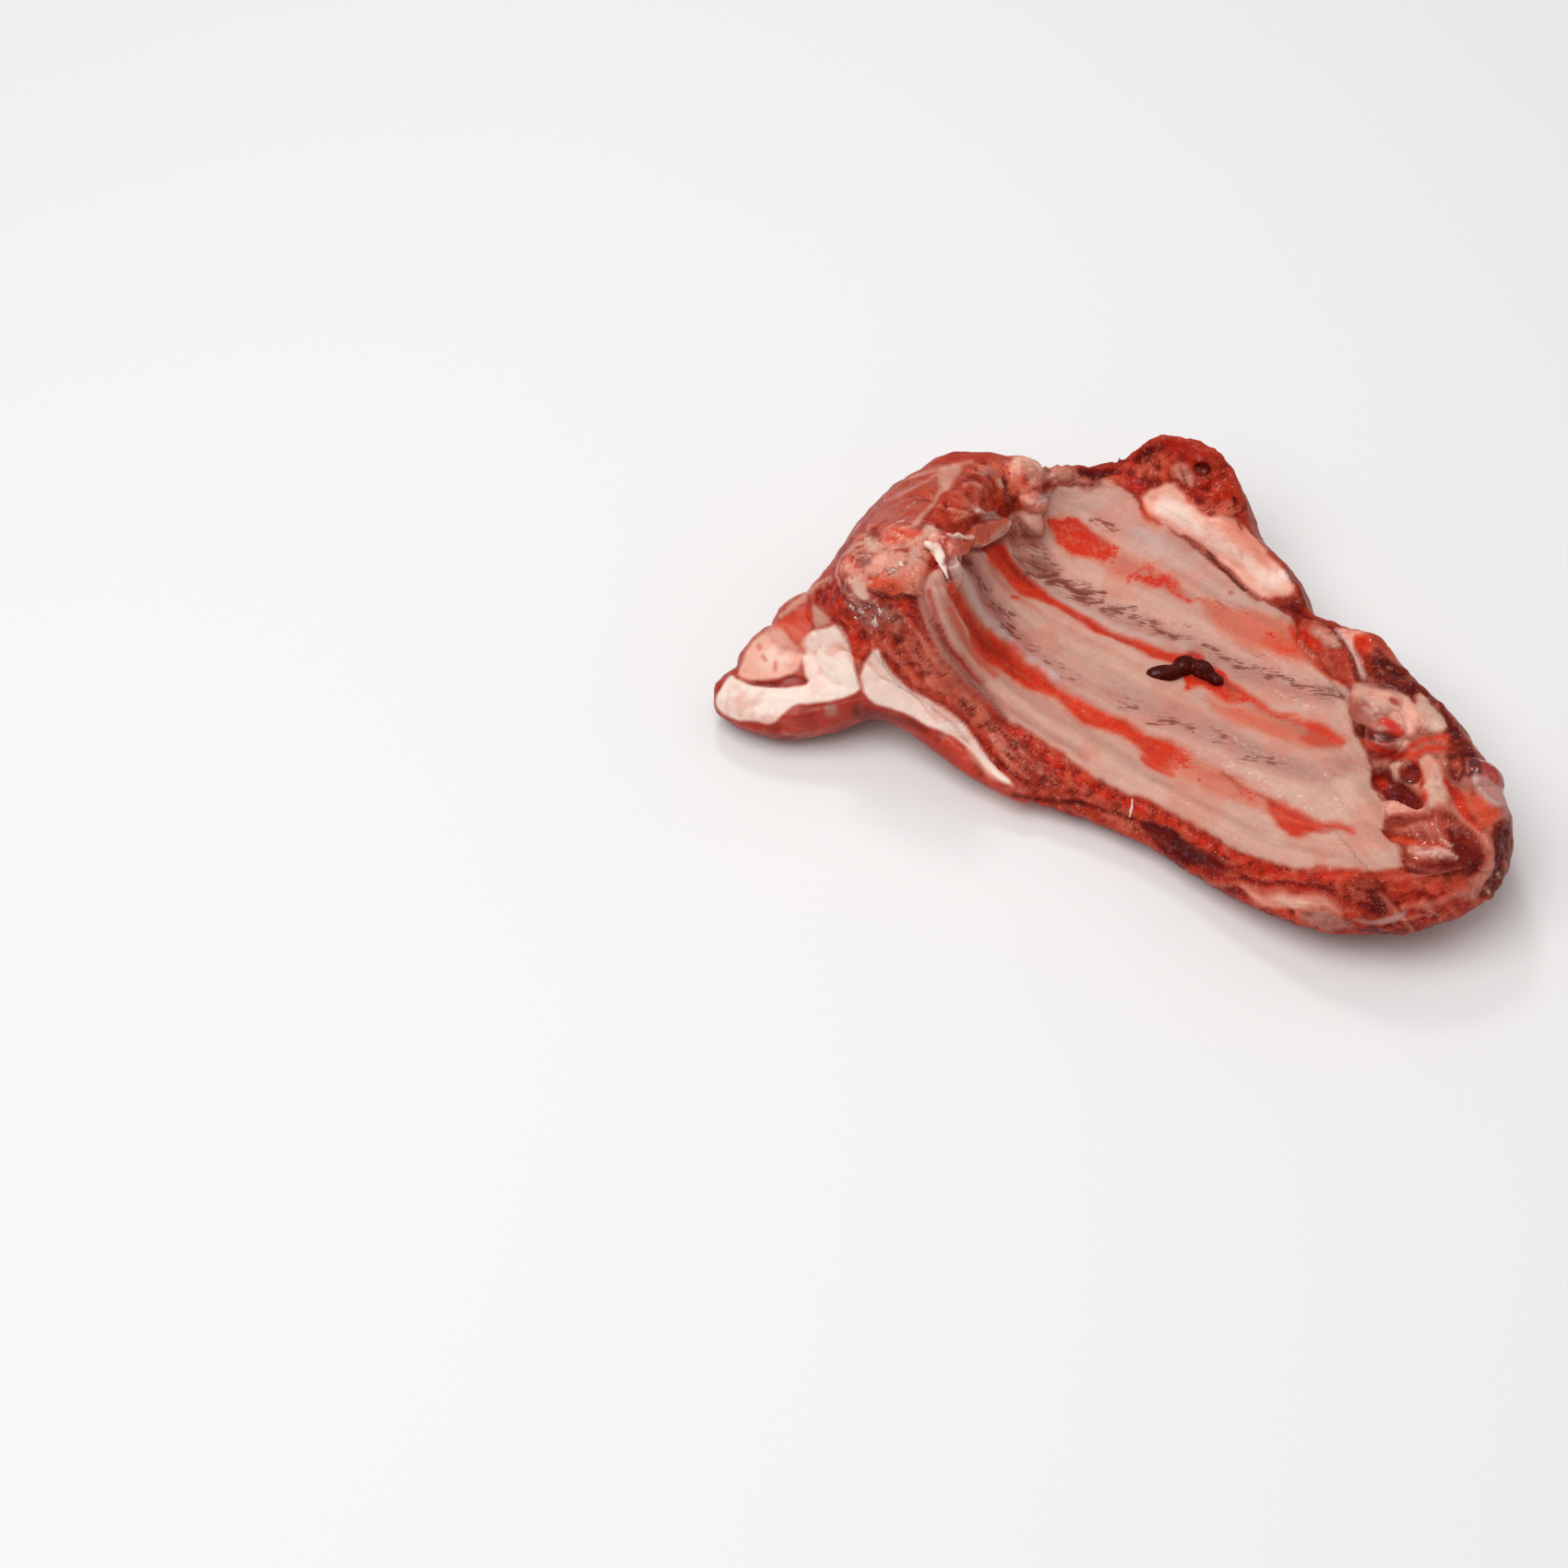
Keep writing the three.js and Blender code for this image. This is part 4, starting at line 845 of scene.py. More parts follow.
def tone_property(name, description, red, green, blue):
    """A colour that is given as the 0 to 255 values seen on a screen."""
    return bpy.props.FloatVectorProperty(
        name=name, description=description, subtype="COLOR_GAMMA", size=3, min=0.0, max=1.0,
        default=(red / 255, green / 255, blue / 255),
    )


def length_property(name, description, millimetres):
    return bpy.props.FloatProperty(
        name=name, description=description, default=millimetres * MM, min=0.0, unit="LENGTH",
        subtype="DISTANCE", precision=5,
    )


class RibColours(bpy.types.PropertyGroup):
    """The colours of the meat, fat, bone and lining."""

    lining_pale: tone_property("Lining", "Silver lining over bone", 214, 163, 146)
    lining_low: tone_property("Lining, lightest", "Lining where fat lies under it", 219, 178, 158)
    lining_grey: tone_property("Lining, grey", "Lining over the muscle between ribs", 178, 130, 118)
    stripe_red: tone_property("Stripe", "Bare red muscle beside a rib", 212, 46, 26)
    stripe_deep: tone_property("Stripe, deep", "The stripes' darker rim", 168, 38, 24)
    # This dark also paints the shadow under the lip.
    hatch_and_shadow_dark: tone_property("Hatch", "Dark fibre marks under the lining", 116, 46, 42)
    salmon: tone_property("Salmon", "Rib bone that shines through", 218, 108, 84)
    meat_red: tone_property("Meat", "Cut muscle", 176, 52, 36)
    meat_dark: tone_property("Meat, dark", "Dark muscle and wet hollows", 94, 20, 13)
    meat_brown: tone_property("Meat, brown", "The loin's outer grain", 184, 76, 58)
    meat_maroon: tone_property("Meat, maroon", "Dried dark muscle at the edges", 112, 32, 25)
    # Also the white of the painted glints and highlight streaks.
    fat_and_glint_white: tone_property("Fat", "Hard white fat", 255, 230, 216)
    fat_pink: tone_property("Fat, pink", "Fat with blood in it", 248, 184, 162)
    bone_pink: tone_property("Bone", "Sawn bone", 220, 138, 118)
    orange_red: tone_property("Bright red", "Fresh torn muscle", 220, 52, 34)
    clot: tone_property("Clot", "Clotted blood", 70, 16, 10)
    outer_meat: tone_property("Outer meat", "Muscle of the outer side", 150, 52, 40)
    fascia: tone_property("Fascia", "Skin over the outer muscle", 190, 115, 98)
    jelly: tone_property("Gristle", "Clear wet gristle", 190, 142, 134)
    # Painted shade: a near-black put into deep gaps, holes and crevices.
    gap_shade: tone_property("Hollow", "Deep gaps", 58, 20, 15)
    stripe_orange: tone_property("Stripe, orange", "The stripes where they thin out", 222, 74, 46)
    lilac: tone_property("Lilac", "Wet lining that shines", 206, 186, 182)
    violet: tone_property("Violet", "Thick muscle under the lining", 160, 100, 96)
    fat_cream: tone_property("Fat, cream", "Fat under the surface of muscle", 228, 188, 166)
    maroon_deep: tone_property("Maroon, deep", "The darkest dried muscle", 72, 20, 15)


class RibSizes(bpy.types.PropertyGroup):
    """How finely the skins are meshed and how deep their relief is."""

    slab_grid: length_property("Slab grid", "Side of one face of the slab's skin", 0.72)
    small_grid: length_property("Small grid", "Side of one face of the smaller skins", 0.5)
    bridge: length_property("Bridge", "How far an inset grows to meet the slab under it", 0.35)
    proud: length_property("Proud", "How far an inset's own skin stands over the slab", 0.75)
    grain: length_property("Grain", "Height of the torn grain of cut muscle", 0.5)
    lobes: length_property("Lobes", "Height of the swells in fat", 0.35)
    fibre: length_property("Fibre", "Height of the long fibres", 0.22)
    bump: length_property("Bump", "Height of the finest relief, which the material adds", 0.35)


class RibStage(bpy.types.PropertyGroup):
    """The floor and the light."""

    floor_side: bpy.props.FloatProperty(
        name="Floor side", description="Side of the square floor", default=6.0, unit="LENGTH")
    floor_tone: tone_property("Floor", "The pale floor", 246, 245, 244)
    key_power: bpy.props.FloatProperty(
        name="Key light", description="Power of the large soft light", default=7.6, unit="POWER")
    fill_power: bpy.props.FloatProperty(
        name="Fill light", description="Power of the light from the other side", default=1.5, unit="POWER")
    glint_power: bpy.props.FloatProperty(
        name="Glint light", description="Power of the small light for wet glints", default=1.3, unit="POWER")
    sky: bpy.props.FloatProperty(
        name="Surround", description="Brightness of the even surround", default=0.30, min=0.0)


def strokes_along(lines, tone, share, wide, soft=2.0, ragged=1.5, **rest):
    """The same stroke along each of several lines."""
    return [Stroke(line, tone, share, wide=wide, soft=soft, ragged=ragged, **rest) for line in lines]


def fields_from_rows(rows, mark):
    """A soft field of that mark for each row, which the material cuts to a crisp line."""
    return [
        Stroke(row[:-2], wide=row[-2] + 0.9, soft=FIELD_SOFT, ragged=1.2, lift=-0.2,
               **{mark: 0.45 + 0.55 * row[-1]})
        for row in rows
    ]


def glints_along(lines, wide=0.4):
    """Painted glints, white highlights of wet places, and pale threads along lines, as soft fields of the glint mark.
    """
    return [Stroke(line, wide=wide, soft=FIELD_SOFT, ragged=1.2, glint=1.0, wet=1.0) for line in lines]


FLESH = {"grain": 1.0, "lining": 0.0, "wet": 0.7, "fat": 0.0}
CURVED = {"curved": 1.0, **FLESH}
LINED = {"grain": 0.0, "lining": 1.0, "wet": 0.45, "fat": 0.0, "curved": 1.0}
FATTY = {"grain": 0.0, "lining": 0.0, "wet": 0.4, "fat": 1.0}
STRIPE = {"grain": 0.4, "lining": 0.4, "wet": 0.6}
POCKET = {"grain": 0.4, "wet": 1.0, "lining": 0.0, "fat": 0.0}
SMOOTH_MUSCLE = {"grain": 0.25, "lining": 0.0, "wet": 0.5, "fat": 0.0}


def lining_strokes():
    """The silver lining over the ribs, with its red stripes and its dark hatches."""
    return (
        Stroke(CUT_FACE, "meat_red", soft=6, **CURVED),
        Stroke(WALL, "meat_red", soft=8, **CURVED),
        Stroke(LINING, "lining_pale", soft=3, ragged=6, lift=0.35, **LINED),
        Stroke(FIRST_BAND, "lining_grey", 0.55, wide=12, soft=11, lift=-0.3),
        Stroke(SECOND_BAND, "lining_grey", 0.7, wide=10, soft=9, lift=-0.4),
        Stroke(FAR_PALE_BAND, "lilac", 0.35, wide=13, soft=12, lift=0.1),
        Stroke(PALE_SIDE, "lilac", 0.5, wide=4, soft=5, lift=0.2),
        Stroke(PALE_RIB, "lining_low", 0.5, soft=9, lift=0.35),
        Stroke(NEAR_RIB, "lining_low", 0.5, wide=8, soft=9, lift=0.3),
        Stroke(FAR_RIB, "lining_low", 0.35, soft=7, lift=0.3),
        Stroke(PINK_RIB, "salmon", 0.5, soft=6),
        Stroke(BREAST_PALE_LINING, "lining_low", 0.75, soft=8, ragged=4, lift=0.2),
        Stroke(BREAST_LINING_LOW, "lining_low", 0.45, soft=10),
        Stroke(FAR_LILAC, "lilac", 0.6, soft=6),
        Stroke(FIRST_VIOLET, "violet", 0.65, soft=7, lift=-0.35),
        Stroke(LIP_SHADE, "hatch_and_shadow_dark", 0.85, soft=3, lift=-0.8),
        Stroke(SHINE_BAND, "lilac", 0.8, wide=5, soft=4, wet=1.0, lift=0.35),
        Stroke(DARK_LENS, "lining_grey", 0.9, soft=4, lift=-0.7),
        Stroke(LENS_CORE, "hatch_and_shadow_dark", 0.7, soft=3, lift=-0.3),
        Stroke(LENS_CORE_LOW, "hatch_and_shadow_dark", 0.6, soft=3, lift=-0.2),
        Stroke(SECOND_BAND, wide=8, soft=6, hatch=0.26),
        Stroke(DARK_LENS, soft=5, hatch=0.46),
        Stroke(FIRST_VIOLET, soft=6, hatch=0.36),
        Stroke(FIRST_BAND, wide=7, soft=6, hatch=0.3),
        *strokes_along(LENS_STREAKS, "lining_grey", 0.6, 1.4, lift=0.25),
        Stroke(LENS_LIGHT_SIDE, "lining_pale", 0.75, wide=5, soft=4, lift=0.4),
        *fields_from_rows(HATCHES, "hatch"),
        Stroke(FIRST_STRIPE, soft=10, vein=0.42),
        Stroke(FIRST_STRIPE, "stripe_orange", 1.0, soft=3.5, ragged=4, lift=-0.3, **STRIPE),
        Stroke(FIRST_STRIPE, "stripe_red", 0.55, soft=9, ragged=8),
        Stroke(FIRST_STRIPE_CORE, "stripe_deep", 0.8, soft=5, ragged=4, lift=-0.2),
        Stroke(FIRST_STRIPE_MIDDLE, "salmon", 0.8, soft=7, ragged=7, grain=0.3, vein=0.42),
        Stroke(FIRST_STRIPE_EDGE, "stripe_red", 0.8, wide=2.5, soft=3, ragged=3),
        Stroke(FIRST_STRIPE_THREAD, "stripe_deep", 0.8, wide=1.6, soft=2.2, ragged=2, lift=-0.2),
        Stroke(FIRST_STRIPE_END, "stripe_red", 0.9, soft=5, ragged=6, lift=-0.3, **STRIPE),
        Stroke(SECOND_STRIPE, soft=8, vein=0.42),
        Stroke(SECOND_STRIPE, "stripe_red", 0.95, soft=3, ragged=3, lift=-0.35, **STRIPE),
        Stroke(SECOND_STRIPE_CORE, "stripe_deep", 0.8, soft=4, ragged=3, lift=-0.2),
        Stroke(SECOND_STRIPE_LIGHT, "stripe_orange", 0.7, soft=4, ragged=4),
        Stroke(LOWER_SALMON, "salmon", 0.85, soft=6, ragged=4, vein=0.3),
        Stroke(STAIN_UNDER_CLOT, "stripe_orange", 0.9, soft=4, ragged=5, vein=0.6),
        Stroke(STAIN_DEEP, "stripe_deep", 0.85, soft=4, ragged=5),
        Stroke(SECOND_STRIPE_END, "stripe_red", 0.8, soft=4, ragged=3, lift=-0.2),
        *strokes_along(SECOND_STRIPE_THREADS, "stripe_red", 0.8, 0.9),
        Stroke(THIRD_FIELD, "salmon", 0.6, soft=8, ragged=5, vein=0.45),
        Stroke(THIRD_BODY, "stripe_orange", 0.8, soft=5, ragged=5, lift=-0.2, grain=0.4, vein=0.62),
        Stroke(THIRD_CORE, "stripe_deep", 0.75, soft=4, ragged=3, lift=-0.3, vein=0.7),
        Stroke(THIRD_END, "stripe_red", 0.6, soft=6, ragged=5, vein=0.62, lift=-0.2),
        Stroke(SALMON_FIELD, "salmon", 0.9, soft=8, ragged=5, vein=0.3),
        Stroke(SALMON_BRIGHT, "stripe_orange", 0.7, soft=8, ragged=5),
        Stroke(FAR_RED_LINE, "stripe_red", 0.95, wide=4, soft=3.5, ragged=3, lift=-0.3),
        Stroke(CAPILLARY_ONE, "stripe_red", 0.9, wide=0.9, soft=1.6, ragged=2),
        Stroke(CAPILLARY_TWO, "stripe_red", 0.85, wide=0.7, soft=1.6, ragged=2),
        Stroke(CAPILLARY_THREE, "stripe_red", 0.85, wide=0.9, soft=1.6, ragged=2),
        Stroke(CAPILLARY_FOUR, "stripe_red", 0.7, wide=0.7, soft=1.6, ragged=2),
        Stroke(CAPILLARY_FIVE, "stripe_deep", 0.7, wide=0.7, soft=1.6, ragged=2),
        Stroke(CAPILLARY_SIX, "stripe_red", 0.6, wide=0.6, soft=1.6, ragged=2),
        Stroke(BLOOD_SPOT, "stripe_red", 0.9, wide=2.2, soft=1.8, ragged=1),
        Stroke(FAR_SPOT, "stripe_deep", 0.8, wide=1.6, soft=1.8, ragged=1),
        Stroke(EDGE_PALE_ONE, "lining_grey", 0.8, wide=5, soft=4, lift=0.4, grain=0.1, lining=0.8),
        Stroke(EDGE_PALE_TWO, "lining_pale", 0.7, wide=4.5, soft=4, lift=0.35, grain=0.0),
        Stroke(EDGE_RED_ONE, "stripe_deep", 0.6, wide=2.6, soft=3, ragged=3, lift=-0.4),
        Stroke(EDGE_RED_TWO, "stripe_orange", 0.6, wide=3.5, soft=3.5, ragged=3, lift=-0.2),
        Stroke(EDGE_GREY, "lining_grey", 0.8, wide=3, soft=4, lift=-0.3),
    )


def loin_strokes():
    """The eye of the loin over the backbone, its seams, and the lumps beside it."""
    return (
        Stroke(LOIN_DOME, "meat_brown", 1.0, soft=3, lift=0.2, **SMOOTH_MUSCLE),
        Stroke(LOIN_TOP, "meat_red", 0.5, soft=4, lift=0.2),
        Stroke(LOIN_GREY, "fascia", 0.45, soft=5, ragged=5),
        Stroke(LUMP_PINK, "salmon", 0.95, soft=4, lift=0.3, grain=1.1, lining=0.0, wet=0.9, vein=0.36, glint=0.34),
        Stroke(LUMP_LILAC, "lining_grey", 0.9, soft=3, lift=0.3),
        Stroke(LOIN_SEAM, "fat_cream", 0.55, wide=2.0, soft=2.5, ragged=2, lift=-0.25, fat=0.6),
        Stroke(LOIN_THREAD, "fat_pink", 0.55, wide=1.2, soft=2, ragged=1.5, lift=-0.2),
        Stroke(LOIN_JUNCTION, "fat_cream", 0.6, soft=3, ragged=3, lift=-0.2, fat=0.7),
        Stroke(LOIN_LOWER_SEAM, "fat_cream", 0.7, wide=2.4, soft=3, ragged=2, lift=-0.2, fat=0.7),
        *glints_along(LOIN_GLINTS),
        Stroke(RED_LUMP, "meat_red", 1.0, soft=3, ragged=3, lift=0.8, **FLESH),
        Stroke(LUMP_BROWN, "meat_brown", 0.8, soft=4, lift=0.3),
        Stroke(LUMP_DEEP, "stripe_deep", 0.9, soft=3, ragged=3, lift=-0.2),
        Stroke(LUMP_GREY, "fascia", 0.7, soft=4, ragged=4, wet=1.0),
        *strokes_along(LUMP_THREADS, "fat_cream", 0.8, 1.2, lift=0.5),
        Stroke(LUMP_SEAM, "fat_cream", 0.85, wide=2.5, soft=2.5, lift=-0.3),
        Stroke(BROWN_LUMPS, "fat_cream", 0.6, soft=3, ragged=4, lift=0.4, grain=0.7, wet=0.9),
        Stroke(BROWN_KNOB, "fat_cream", 0.6, soft=4, ragged=3, lift=0.7),
        Stroke(TOP_BROWN, "fat_pink", 0.6, soft=4, ragged=4, grain=0.8),
        Stroke(TOP_RED, "stripe_red", 0.6, soft=4, ragged=4),
        # Painted shade in the gap, over a carved dip.
        Stroke(TOP_GAP, "gap_shade", 0.65, soft=3, lift=-1.0),
        Stroke(TOP_KNOB, "fascia", 0.9, soft=3, lift=0.9),
        Stroke(PINK_LUMP, "fat_pink", 1.0, soft=3, ragged=3, lift=0.3, grain=1.3, lining=0.0, wet=0.9, fat=0.4),
        Stroke(LUMP_WHITE, "fat_cream", 0.7, soft=5, lift=0.4),
        Stroke(LUMP_ORANGE, "stripe_orange", 0.7, soft=4, ragged=3, lift=-0.3),
        Stroke(PALE_FOOT, "lilac", 0.85, soft=3, lift=0.4, wet=1.0),
        # Painted shadow under the lip, over a carved groove.
        Stroke(UNDER_LIP_SHADOW, "hatch_and_shadow_dark", 0.9, wide=2.5, soft=3, lift=-1.2),
        Stroke(PINK_LIP, "salmon", 0.95, soft=2, ragged=1.5, lift=1.2, wet=0.9, fat=0.4, lining=0.0),
        Stroke(LIP_TAN, "lining_pale", 0.85, soft=3, lift=0.1),
        Stroke(LIP_RIM, "fat_and_glint_white", 0.9, wide=1.6, soft=1.6, ragged=1, lift=0.5),
        Stroke(LEFT_FLAP, "salmon", 0.9, soft=2.5, lift=0.9, wet=0.9, lining=0.0, vein=0.34),
        Stroke(LEFT_FLAP_RIM, "fat_cream", 0.7, wide=1.4, soft=1.8, ragged=1, lift=0.4),
        # Painted highlights on the wet lump, besides its real gloss.
        Stroke(SHEEN_PATCH, "lilac", 0.9, soft=2.5, ragged=3, wet=1.0, lift=0.5),
        Stroke(GLINT_SPOT, "fat_and_glint_white", 1.0, wide=2, soft=1.5, ragged=1, wet=1.0, lift=0.3),
        Stroke(WHITE_STRIP, "fat_and_glint_white", 0.9, wide=1.8, soft=1.8, ragged=1, lift=0.5),
        Stroke(DARK_HOLLOW, "meat_brown", 0.7, soft=4, lift=-0.3, lining=0.0),
        Stroke(SPIKE_FOOT, "meat_dark", 0.95, soft=3, ragged=2, lift=-0.8),
        Stroke(CHINE_BLAZE, "lilac", 0.85, soft=5, ragged=4, lift=0.3, wet=1.0, glint=0.3),
    )


def backbone_strokes():
    """The sawn backbone and the cut face below it."""
    return (
        Stroke(CHINE, "bone_pink", 1.0, soft=4, ragged=4, lift=0.3, grain=1.1, wet=0.9, fat=0.0, lining=0.0,
               vein=0.3, glint=0.3),
        Stroke(CHINE_MIDDLE, "fat_pink", 0.6, soft=5, ragged=5, glint=0.36),
        Stroke(CHINE_ORANGE, "stripe_orange", 0.9, soft=4, ragged=4, lift=0.2),
        Stroke(CHINE_OVAL, "fat_cream", 0.85, soft=3, ragged=3, lift=0.5),
        Stroke(CHINE_LEFT_RED, "stripe_red", 0.7, soft=4, ragged=4),
        Stroke(CHINE_RED, "stripe_orange", 0.9, soft=4, ragged=5, lift=-0.1),
        Stroke(CHINE_WHITE, "lining_pale", 0.9, soft=4, ragged=4, lift=0.4),
        Stroke(CHINE_CREAM, "fat_cream", 0.9, soft=3, ragged=3, lift=0.4),
        *glints_along(CHINE_GLINTS),
        Stroke(CUT_RED_TOP, "stripe_red", 0.5, soft=7, ragged=6),
        Stroke(CUT_DARK, "meat_brown", 0.5, soft=9, ragged=8),
        Stroke(CUT_LOW_DARK, "stripe_deep", 0.7, soft=6, ragged=5),
        Stroke(CUT_SPARKLE, "violet", 0.6, soft=6, ragged=7, wet=1.0, grain=1.4, glint=0.42),
        Stroke(CUT_GREY, "lining_grey", 0.7, soft=5, ragged=6),
        Stroke(CUT_ORANGE, "salmon", 0.45, soft=6, ragged=5),
        Stroke(CUT_RED_LEFT, "stripe_red", 0.8, soft=4, ragged=4),
        Stroke(CUT_WHITE, "fat_cream", 1.0, soft=3, ragged=3, lift=0.5, fat=0.8, grain=0.0),
        Stroke(CUT_WEDGE, "lining_pale", 0.9, soft=3, ragged=3, lift=0.2, fat=0.6, grain=0.0),
        # Painted shade along the carved crease under the backbone.
        Stroke(CREASE_SHADE_UNDER_CHINE, "meat_dark", 0.8, wide=1.8, soft=3.5, ragged=4, lift=-0.6),
        *strokes_along(EDGE_FIBRES, "fascia", 0.6, 1.6, soft=5, ragged=1, lift=0.2),
        *strokes_along(CUT_FIBRES, "fat_pink", 0.6, 0.8, soft=5, ragged=1, lift=0.25),
        *glints_along(CUT_GLINTS),
    )


def corner_strokes():
    """The fat lobe at the corner by the backbone, its seam, and the red strip below them."""
    return (
        Stroke(LEFT_RED_STRIP, "meat_red", 1.0, soft=3, grain=0.35, lining=0.0, wet=0.7, fat=0.0),
        Stroke(STRIP_DARK, "meat_maroon", 0.7, soft=5, ragged=4),
        Stroke(STRIP_RED, "stripe_orange", 0.6, soft=5, ragged=5, grain=0.8),
        Stroke(STRIP_GREY, "lining_grey", 0.75, soft=3, ragged=3),
        Stroke(STRIP_FOOT, "meat_dark", 0.6, wide=4, soft=5, ragged=3),
        Stroke(SEAM_TAIL, "fat_pink", 0.75, soft=4, ragged=3, lift=0.2),
        Stroke(FAT_SEAM, "fat_and_glint_white", 0.95, soft=2.5, ragged=2, lift=0.3, **FATTY),
        Stroke(PINK_LOBE, "fat_pink", 1.0, soft=3, ragged=3, lift=0.2, grain=0.2, fat=0.7, lining=0.0),
        Stroke(LOBE_SHINE, "fat_and_glint_white", 0.6, soft=6, ragged=4),
        Stroke(FAT_LOBE, "fat_and_glint_white", 1.0, soft=2.5, ragged=2, lift=0.4, **FATTY),
        Stroke(LOBE_RED_TOP, "stripe_orange", 0.8, soft=4, ragged=4, grain=0.5, fat=0.2),
        *strokes_along(LOBE_SPOTS, "salmon", 0.8, 2.0, soft=3),
        Stroke(LOBE_RIM, "fat_cream", 0.7, wide=2.5, soft=2.5, ragged=2, lift=0.4),
        Stroke(DARK_SLIT, "meat_red", 0.95, soft=2, ragged=1.5, lift=-1.2, fat=0.0, wet=0.9),
        Stroke(KNOB_CREASE, "bone_pink", 0.75, wide=1.5, soft=2.5, ragged=1.5, lift=-0.8),
    )


def wall_strokes():
    """The long lower wall: torn fibre ends at its brim, dark muscle and streaks of fat below."""
    return (
        Stroke(TOOTH_LINE, "stripe_red", 0.7, wide=5, soft=4, ragged=5, lift=-0.2, teeth=0.35),
        Stroke(TOOTH_LINE, wide=8, soft=8, ragged=4, vein=0.5),
        *strokes_along(TOOTH_THREADS, "fat_cream", 0.45, 0.6, soft=4.5, lift=0.2),
        *strokes_along(WALL_TOP_FIBRES, "fascia", 0.55, 1.2, soft=4.5, ragged=3, lift=0.25),
        Stroke(WALL_LOW_RED, "stripe_deep", 0.55, soft=4, ragged=4),
        Stroke(WALL_DARK_LINE, "meat_dark", 0.9, wide=2.0, soft=2.5, ragged=2.5, lift=-0.6),
        Stroke(WALL_DARK, "meat_dark", 0.85, soft=4, ragged=4, grain=0.3, wet=0.9),
        Stroke(WALL_DEEP, "maroon_deep", 0.6, soft=5, ragged=4, lift=-0.4),
        *strokes_along(WALL_STREAKS, "meat_red", 0.7, 1.2, soft=4.5, ragged=2, lift=0.25),
        Stroke(WALL_PALE_STREAK, "fascia", 0.85, soft=3, ragged=3, lift=0.3),
        Stroke(WALL_LOW_RED_EDGE, "stripe_deep", 0.6, soft=4, ragged=4),
        Stroke(WALL_PALE, "fat_pink", 0.75, soft=7, ragged=7, lift=0.3, fat=0.6, grain=0.3),
        Stroke(WALL_CREAM, "fat_cream", 0.8, soft=4, ragged=4, lift=0.2),
        Stroke(WALL_LOW_LINE, "stripe_red", 0.7, wide=2.5, soft=3, ragged=3, lift=-0.2),
        Stroke(WALL_LOW_FAT, "lining_grey", 0.85, soft=4, ragged=4, grain=0.5),
        Stroke(WALL_RED_LINE, "stripe_deep", 0.85, wide=2.6, soft=3, ragged=3, lift=-0.5),
        *glints_along(WALL_GLINTS),
        Stroke(WALL_KNOT, "meat_dark", 0.7, soft=5, ragged=4, lift=0.5, grain=1.2),
        Stroke(KNOT_EYE, "maroon_deep", 0.7, soft=4, ragged=3),
        *strokes_along(KNOT_THREADS, "salmon", 0.7, 0.8, soft=4.5, ragged=2, lift=0.25),
    )


